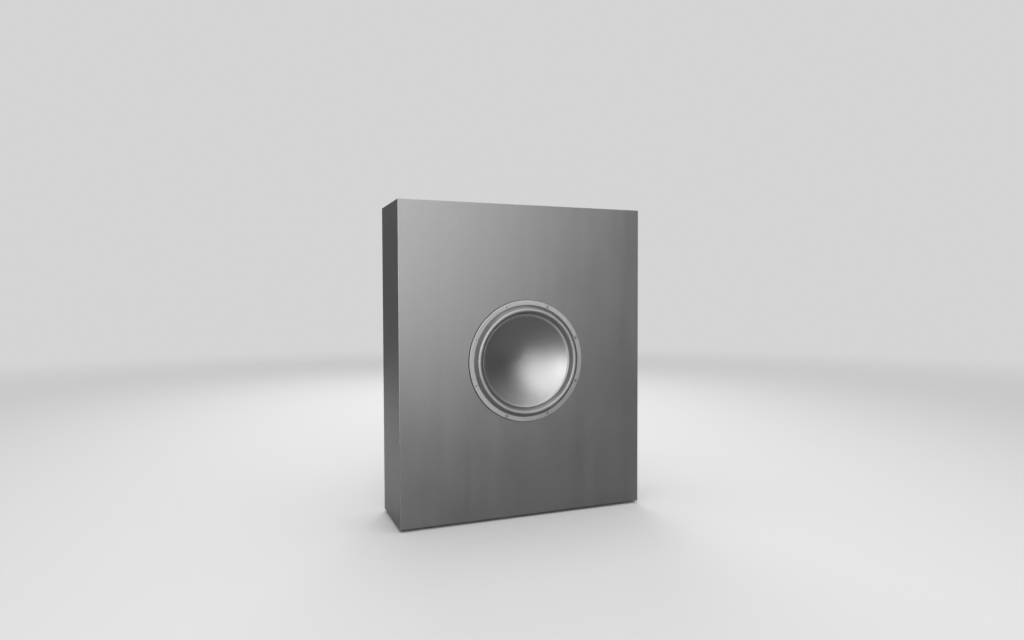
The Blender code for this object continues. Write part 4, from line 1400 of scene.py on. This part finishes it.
def transformer():
    """A toroidal winding with three tape bands and a steel washer."""

    def section(grow, rounding=0):
        inner, outer, back, front = 13 - grow, 36 + grow, -54.9 - grow, -25 + grow
        small, large = 6.0 + rounding, 7.0 + rounding
        points = [(inner, back, small), (outer, back, large)]
        return fillet(points + [(outer, front, large), (inner, front, small)], 8)

    def wound(angle, r, h):
        depth = 0.55 * abs(sin(angle * 60))
        inward = Vector((24.5 - r, -40.0 - h)).normalized()
        return r + inward.x * depth, h + inward.y * depth

    washer = [(4, -25.6, 0.2), (20, -25.6, 0.3), (20, -24.6, 0.3), (4, -24.6, 0.2)]
    parts = [lathe(section(0), 360, wound), painted(lathe(fillet(washer, 2), 64), 1)]
    stand = Matrix(((1, 0, 0), (0, 0, -1), (0, 1, 0))).to_4x4()
    for angle in (0.4, 2.5, 4.6):
        band = cut(prism(section(0.25, 0.1), -3.5, 3.5), prism(section(-0.3), -5, 5))
        band = moved(moved(band, stand), Matrix.Rotation(angle, 4, "Z"))
        parts.append(painted(band, 2))
    piece(
        "transformer_toroid", joined(*parts), shifted(AMP, *amp_spot("transformer")),
        ("copper", "plated_steel", "tape_yellow"), "transformer", angle=60,
    )


transformer()


def line_sockets():
    """A plastic body with two plated sockets, each with a coloured collar and insert."""
    shell = [(2.9, -3.6), (4.2, -3.6), (4.2, 8.4, 0.25), (2.9, 8.4, 0.2)]
    collar = [(4.25, 0.15, 0.1), (6.2, 0.15, 0.25), (6.2, 1.3, 0.4), (4.25, 1.3, 0.15)]
    insert = [(1.7, -3.5), (2.85, -3.5), (2.85, 7.4, 0.2), (1.7, 7.4, 0.2)]
    contact = [(1.25, -3.5), (1.68, -3.5), (1.68, 6.6, 0.1), (1.25, 6.6, 0.1)]
    parts = [box((-16, -6.5, -13.4), (16, 6.5, -3.4), 0.5, 2)]
    for x, colour in ((-RCA_OFFSET, 2), (RCA_OFFSET, 3)):
        # profile, rounding steps, sides, material
        for profile, steps, sides, index in (
            (shell, 3, 64, 1), (collar, 3, 64, colour), (insert, 3, 48, colour),
            (contact, 2, 32, 1),
        ):
            parts.append(painted(at(lathe(fillet(profile, steps), sides), x), index))
    materials = "black_plastic", "gold_plate", "plug_red", "plug_white"
    piece("line_sockets", joined(*parts), shifted(AMP, *RCA), materials, "rca_block")


def mains_inlet():
    """A moulded frame with the socket's recess, three flat pins and the fuse opening."""
    flange = prism(rounded_rect(15.5, 26, 2.2), 0.3, 2.5, 0.5, 3, both_ends=False)
    inlet = fused(flange, prism(rounded_rect(13.1, 22.1, 0.8, 4), -22, 1.0))
    recess = fillet([
        (-12.2, 4.2, 0.8), (12.2, 4.2, 0.8), (12.2, 16.2, 0.8), (8.2, 20.8, 0.8),
        (-8.2, 20.8, 0.8), (-12.2, 16.2, 0.8),
    ], 3)
    inlet = cut(inlet, prism(recess, -14, 6), box((-11.1, -17.2, -18), (11.1, -7.8, 6)))
    pins = [
        painted(box((x - 1.0, y, -14.5), (x + 1.0, y + 4.0, -2), 0.3, 2), 1)
        for x, y in ((0.0, 13.4), (-7.0, 8.0), (7.0, 8.0))
    ]
    piece(
        "mains_inlet_moulding", joined(inlet, *pins), shifted(AMP, *INLET),
        ("black_plastic", "solder"), "mains_inlet",
    )


def fuse_carrier():
    """A hollow drawer with a finger notch, and the fuse lying across it."""
    drawer = box((-10.7, -16.8, -14.5), (10.7, -8.2, 3.3), 0.5, 3)
    drawer = cut(drawer, box((-7.5, -14.6, -11.5), (7.5, -7, -1.5), 0.2, 1))
    notch = fillet([(-3.2, -17.4), (3.2, -17.4), (2.6, -15.6, 0.5), (-2.6, -15.6, 0.5)], 3)
    drawer = cut(drawer, prism(notch, 1.9, 5))
    fuse = lathe(fillet([(0, -6.6), (2.0, -6.6, 0.4), (2.0, 6.6, 0.4), (0, 6.6)], 3), 40)
    fuse = moved(fuse, Matrix.Translation((0, -11.2, -6.4)) @ rotation(90, "Y"))
    piece(
        "fuse_carrier_moulding", joined(drawer, painted(fuse, 1)), shifted(AMP, *INLET),
        ("black_plastic", "solder"), "fuse_drawer", "fuse_carrier",
    )


def power_switch():
    """The frame, and a rocker with a bar sign and a ring sign."""
    bezel = prism(rounded_rect(8.8, 12, 1.6), 0.3, 2.3, 0.5, 3, both_ends=False)
    bezel = fused(bezel, prism(rounded_rect(6.7, 9.8, 0.6, 4), -14, 1.0))
    bezel = cut(bezel, prism(rounded_rect(5.5, 8.5, 0.7, 4), -20, 6))
    piece("power_switch_frame", bezel, shifted(AMP, *POWER), "black_plastic", "switch_bezel")

    half, end_z, middle_z = 7.6, 4.2, 2.9
    side = fillet([
        (-half, end_z, 0.5), (-half, 0.5), (-4.5, -5.0, 0.6), (4.5, -5.0, 0.6), (half, 0.5),
        (half, end_z, 0.5), (0, middle_z, 14.0),
    ], 6)
    rocker = moved(prism(side, -5.1, 5.1, 0.35, 3), ALONG_X)
    slope = math.atan2(end_z - middle_z, half)
    bar = prism(rounded_bar(0.35, 1.7), -0.15, 0.06)
    ring = lathe([(1.15, -0.15), (1.75, -0.15), (1.75, 0.06), (1.15, 0.06)], 40)
    signs = []
    for sign, way in ((bar, -1), (ring, 1)):
        lay = Matrix.Translation((0, way * 4.4, 3.66)) @ Matrix.Rotation(way * slope, 4, "X")
        signs.append(painted(moved(sign, lay), 1))
    piece(
        "power_rocker_key", moved(joined(rocker, *signs), rotation(-10, "X")),
        shifted(AMP, *POWER, -3), ("black_plastic", "print_white"), "power_rocker", "power_key",
    )


def rounded_bar(x, y):
    return fillet([(-x, -y, 0.1), (x, -y, 0.1), (x, y, 0.1), (-x, y, 0.1)], 2)


def phase_switch():
    """A can with an open slot, and a ribbed lever in it."""
    can = cut(box((-7, -3.6, -10.4), (7, 3.6, -3.4), 0.3, 2), box((-4.4, -2.0, -8.6), (4.4, 2.0, 0)))
    piece("phase_switch_can", can, shifted(AMP, *PHASE), "plated_steel", "phase_switch")
    lever = box((-2.0, -1.6, -8.2), (2.0, 1.6, 2.2), 0.3, 3)
    grooves = [
        prism([(x - 0.18, -3), (x + 0.18, -3), (x + 0.18, 3), (x - 0.18, 3)], 1.8, 4)
        for x in (-1.1, -0.37, 0.37, 1.1)
    ]
    where = shifted(AMP, amp_spot("phase_slider")[0], PHASE[1])
    lever = cut(lever, *grooves)
    piece("phase_lever_ribbed", lever, where, "black_plastic", "phase_slider", "phase_lever")


line_sockets()
mains_inlet()
fuse_carrier()
power_switch()
phase_switch()

dome = [(1.5 * cos(radians(a)), 0.25 + 1.45 * sin(radians(a))) for a in range(0, 90, 9)]
lens = lathe([(0, -9), (1.5, -9)] + dome + [(0, 1.7)], 48)
piece("status_led_lens", lens, shifted(AMP, *LED), "led_lens", "status_led", angle=60)


def amp_screw(i):
    """Button head with a hexagon socket."""
    profile = [
        (0, 2.5), (2.4, 2.5, 1.2), (3.8, 1.3, 1.0), (3.8, 0.3, 0.15), (1.9, 0.3), (1.9, -2), (0, -2),
    ]
    head = cut(lathe(fillet(profile, 5), 64), prism(circle(1.5, 6), 1.0, 6))
    shank = pointed_shank(1.35, 1.9, -2, -14.5, 1.6, tip_radius=1.3, sides=28)
    node = f"amp_screw_{i}"
    piece(
        f"{node}_button", joined(head, shank), shifted(AMP, *amp_spot(node)), "screw_black",
        node,
    )


for i in range(1, 5):
    amp_screw(i)

# Speaker cable: two insulated cores wound round each other.
CABLE_PATH = [
    (30, 52, 211), (28, 46, 224), (14, 20, 236), (2, -12, 239), (0, -27.5, 246), (0, -27.5, 251),
]
cores = [
    painted(strand(CABLE_PATH, 1.02, sides=16, steps=24, wind=1.05, turns=2.5, phase=pi * k), k)
    for k in range(2)
]
piece(
    "speaker_cable_cores", joined(*cores), WORLD, ("cable_red", "cable_black"), "speaker_cable",
    angle=60,
)


# ---- wadding -------------------------------------------------------------------
def puffed(obj):
    """Points of the pad after a short cloth simulation under inner pressure."""
    cloth = obj.modifiers.new("c", "CLOTH")
    settings = cloth.settings
    settings.quality = 4
    settings.mass = 0.15
    settings.tension_stiffness = 8
    settings.bending_stiffness = 0.4
    settings.use_pressure = True
    settings.uniform_pressure_force = 4.0
    settings.effector_weights.gravity = 0.0
    cloth.collision_settings.use_collision = False
    for f in range(1, 16):
        SCENE.frame_set(f)
    made = evaluated_mesh(obj)
    obj.modifiers.clear()
    obj.data = made
    SCENE.frame_set(1)
    return np.array([v.co for v in made.vertices], float)


def wadding():
    """A soft tufted sheet, kept inside its node's box."""
    most_travel = 0.008
    lo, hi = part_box("wadding_sheet")
    shrink = Vector((0.006, 0.004, 0.006))
    pad = box(list(lo + shrink), list(hi - shrink), 0.006, 2)
    obj = new_object("wadding_pad", mesh_of(pad, "wadding"))
    mod = obj.modifiers.new("r", "REMESH")
    mod.mode, mod.voxel_size = "VOXEL", 0.006
    obj.data = evaluated_mesh(obj)
    obj.modifiers.clear()
    rest = np.array([v.co for v in obj.data.vertices], float)
    move = puffed(obj) - rest
    length = np.linalg.norm(move, axis=1, keepdims=True)
    move *= np.minimum(1.0, most_travel / np.maximum(length, 1e-9))
    co = rest + move
    # tufts: soft hollows on both broad faces
    x, z = co[:, 0], co[:, 2]
    tuft = 0.0022 * np.sin(x * 95 + 1.3 * np.sin(z * 41)) * np.sin(z * 83 + 1.1 * np.sin(x * 57))
    co[:, 1] += tuft * np.sign(co[:, 1] - (lo.y + hi.y) / 2)
    co = np.clip(co, np.array(lo), np.array(hi))
    obj.data.vertices.foreach_set("co", co.astype(np.float32).ravel())
    obj.data.materials.clear()
    obj.data.materials.append(MATERIALS["fibre"])
    obj.data.shade_smooth()
    obj.data.update()
    mod = obj.modifiers.new("s", "SUBSURF")
    mod.levels = mod.render_levels = 1
    obj.data = evaluated_mesh(obj)
    obj.modifiers.clear()
    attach(obj, "cabinet")
    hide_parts("wadding_sheet")


wadding()

# ---- studio --------------------------------------------------------------------
BACK = 0.66  # brightness of the backdrop
AMBIENT = 0.45  # light on matt surfaces
ROOM, OVERHEAD = 0.156, 0.60  # the walls and the ceiling as reflections see them
FLOOR_DIM = 0.285  # the floor as reflections see it
FLOOR_FADE = {"start": 0.9, "end": 5.5}  # radii between which the floor becomes clear

floor_bm = bmesh.new()
bmesh.ops.create_circle(floor_bm, cap_ends=True, segments=96, radius=14.0)
floor = new_object("floor", mesh_of(floor_bm, "floor"))


def floor_material():
    mat = Paint("floor_paper", (0.78, 0.78, 0.78), rough=0.8)
    mat.bsdf.inputs["Specular IOR Level"].default_value = 0.25
    tooth = mat.noise(scale=320)
    mat.shade(tooth, low=0.99, high=1.01)
    mat.bump(tooth, depth=0.0002, strength=0.2)
    coord = mat.coord()
    radius = mat.vector("LENGTH", {0: coord}, "Value")
    fade = mat.span(radius, **FLOOR_FADE, interpolation_type="SMOOTHSTEP")
    clear = mat.node("ShaderNodeBsdfTransparent").outputs[0]
    glossy = mat.node("ShaderNodeLightPath").outputs["Is Glossy Ray"]
    # reflections see it dimmest in front and to the right
    across = mat.vector("DOT_PRODUCT", {0: coord, 1: (-0.6, 0.8, 0.0)}, "Value")
    dimmest, lightest = FLOOR_DIM - 0.05, FLOOR_DIM + 0.17
    grey = mat.span(across, start=-0.5, end=0.5, low=dimmest, high=lightest)
    dim = mat.node("ShaderNodeBsdfDiffuse", {"Color": grey}).outputs[0]
    seen = mat.node("ShaderNodeMixShader", {0: glossy, 1: mat.bsdf.outputs[0], 2: dim}).outputs[0]
    mix = mat.node("ShaderNodeMixShader", {0: fade, 1: seen, 2: clear}).outputs[0]
    output = next(n for n in mat.tree.nodes if n.type == "OUTPUT_MATERIAL")
    mat.tree.links.new(mix, output.inputs["Surface"])
    return mat.mat


floor.data.materials.append(floor_material())

# Large soft sources that only reflections see: direction, degrees from it within which the
# source is full, degrees at which it is gone, strength.
SOURCES = (
    ((-0.740, -0.672, 0.0), 13, 29, 1.75),
    ((-0.250, -0.951, 0.190), 30, 43, 2.0),
    ((0.66, 0.72, 0.10), 10, 44, 1.3),
    ((0.74, -0.66, -0.12), 4, 38, -0.11),  # a black flag
)


def build_world():
    """A plain backdrop for the camera, even light, and a shaped room for reflections."""
    world = bpy.data.worlds.new("studio")
    SCENE.world = world
    world.use_nodes = True
    tree = world.node_tree
    tree.nodes.clear()

    def ramp(value, start, end, low, high):
        inputs = {
            "Value": value, "From Min": start, "From Max": end, "To Min": low, "To Max": high,
        }
        node = add_node(tree, "ShaderNodeMapRange", inputs, interpolation_type="SMOOTHSTEP")
        return node.outputs["Result"]

    def background(strength):
        inputs = {"Color": (1, 1, 1, 1), "Strength": strength}
        return add_node(tree, "ShaderNodeBackground", inputs).outputs[0]

    def mixed(fac, first, second):
        return add_node(tree, "ShaderNodeMixShader", {0: fac, 1: first, 2: second}).outputs[0]

    coord = add_node(tree, "ShaderNodeTexCoord").outputs["Generated"]
    height = add_node(tree, "ShaderNodeSeparateXYZ", {0: coord}).outputs["Z"]
    total = ramp(height, start=0.0, end=0.95, low=ROOM, high=OVERHEAD)
    for direction, inner, outer, strength in SOURCES:
        inputs = {0: coord, 1: Vector(direction).normalized()}
        dot = add_node(tree, "ShaderNodeVectorMath", inputs, operation="DOT_PRODUCT")
        start, end = cos(radians(outer)), cos(radians(inner))
        source = ramp(dot.outputs["Value"], start, end, low=0.0, high=strength)
        total = add_node(tree, "ShaderNodeMath", {0: total, 1: source}, operation="ADD").outputs[0]
    ray = add_node(tree, "ShaderNodeLightPath").outputs
    lit = mixed(ray["Is Glossy Ray"], background(AMBIENT), background(total))
    surface = mixed(ray["Is Camera Ray"], lit, background(BACK))
    add_node(tree, "ShaderNodeOutputWorld", {"Surface": surface})


build_world()


def softbox(name, place, target, width, height, power, in_reflections):
    data = bpy.data.lights.new(name, "AREA")
    data.shape, data.size, data.size_y, data.energy = "RECTANGLE", width, height, power
    obj = new_object(name, data)
    obj.location = place
    aim = Vector(target) - Vector(place)
    obj.rotation_euler = aim.to_track_quat("-Z", "Y").to_euler()
    obj.visible_glossy = in_reflections


softbox(
    "key", place=(-0.55, -2.25, 1.00), target=(0.0, 0.0, 0.36), width=1.3, height=1.0, power=13,
    in_reflections=False,
)
softbox(
    "top", place=(0.0, -0.25, 2.7), target=(0.0, -0.05, 0.0), width=2.4, height=2.4, power=32,
    in_reflections=True,
)
softbox(
    "back", place=(0.6, 2.5, 2.0), target=(0.0, 0.0, 0.3), width=1.8, height=1.2, power=34,
    in_reflections=False,
)

cam_data = bpy.data.cameras.new("camera")
cam_data.sensor_width = 36.0
cam_data.lens = 24.064
cam = bpy.data.objects.new("camera", cam_data)
# columns: the camera's right, up and backward axes, and its place
cam.matrix_world = Matrix((
    (0.930207, 0.014371, -0.366755, -0.577952),
    (-0.367021, 0.027296, -0.929812, FRONT_Y - 1.379294),
    (-0.003352, 0.999524, 0.030665, 0.480261),
    (0, 0, 0, 1),
))
SCENE.collection.objects.link(cam)
SCENE.camera = cam
SCENE.view_settings.view_transform = "Standard"
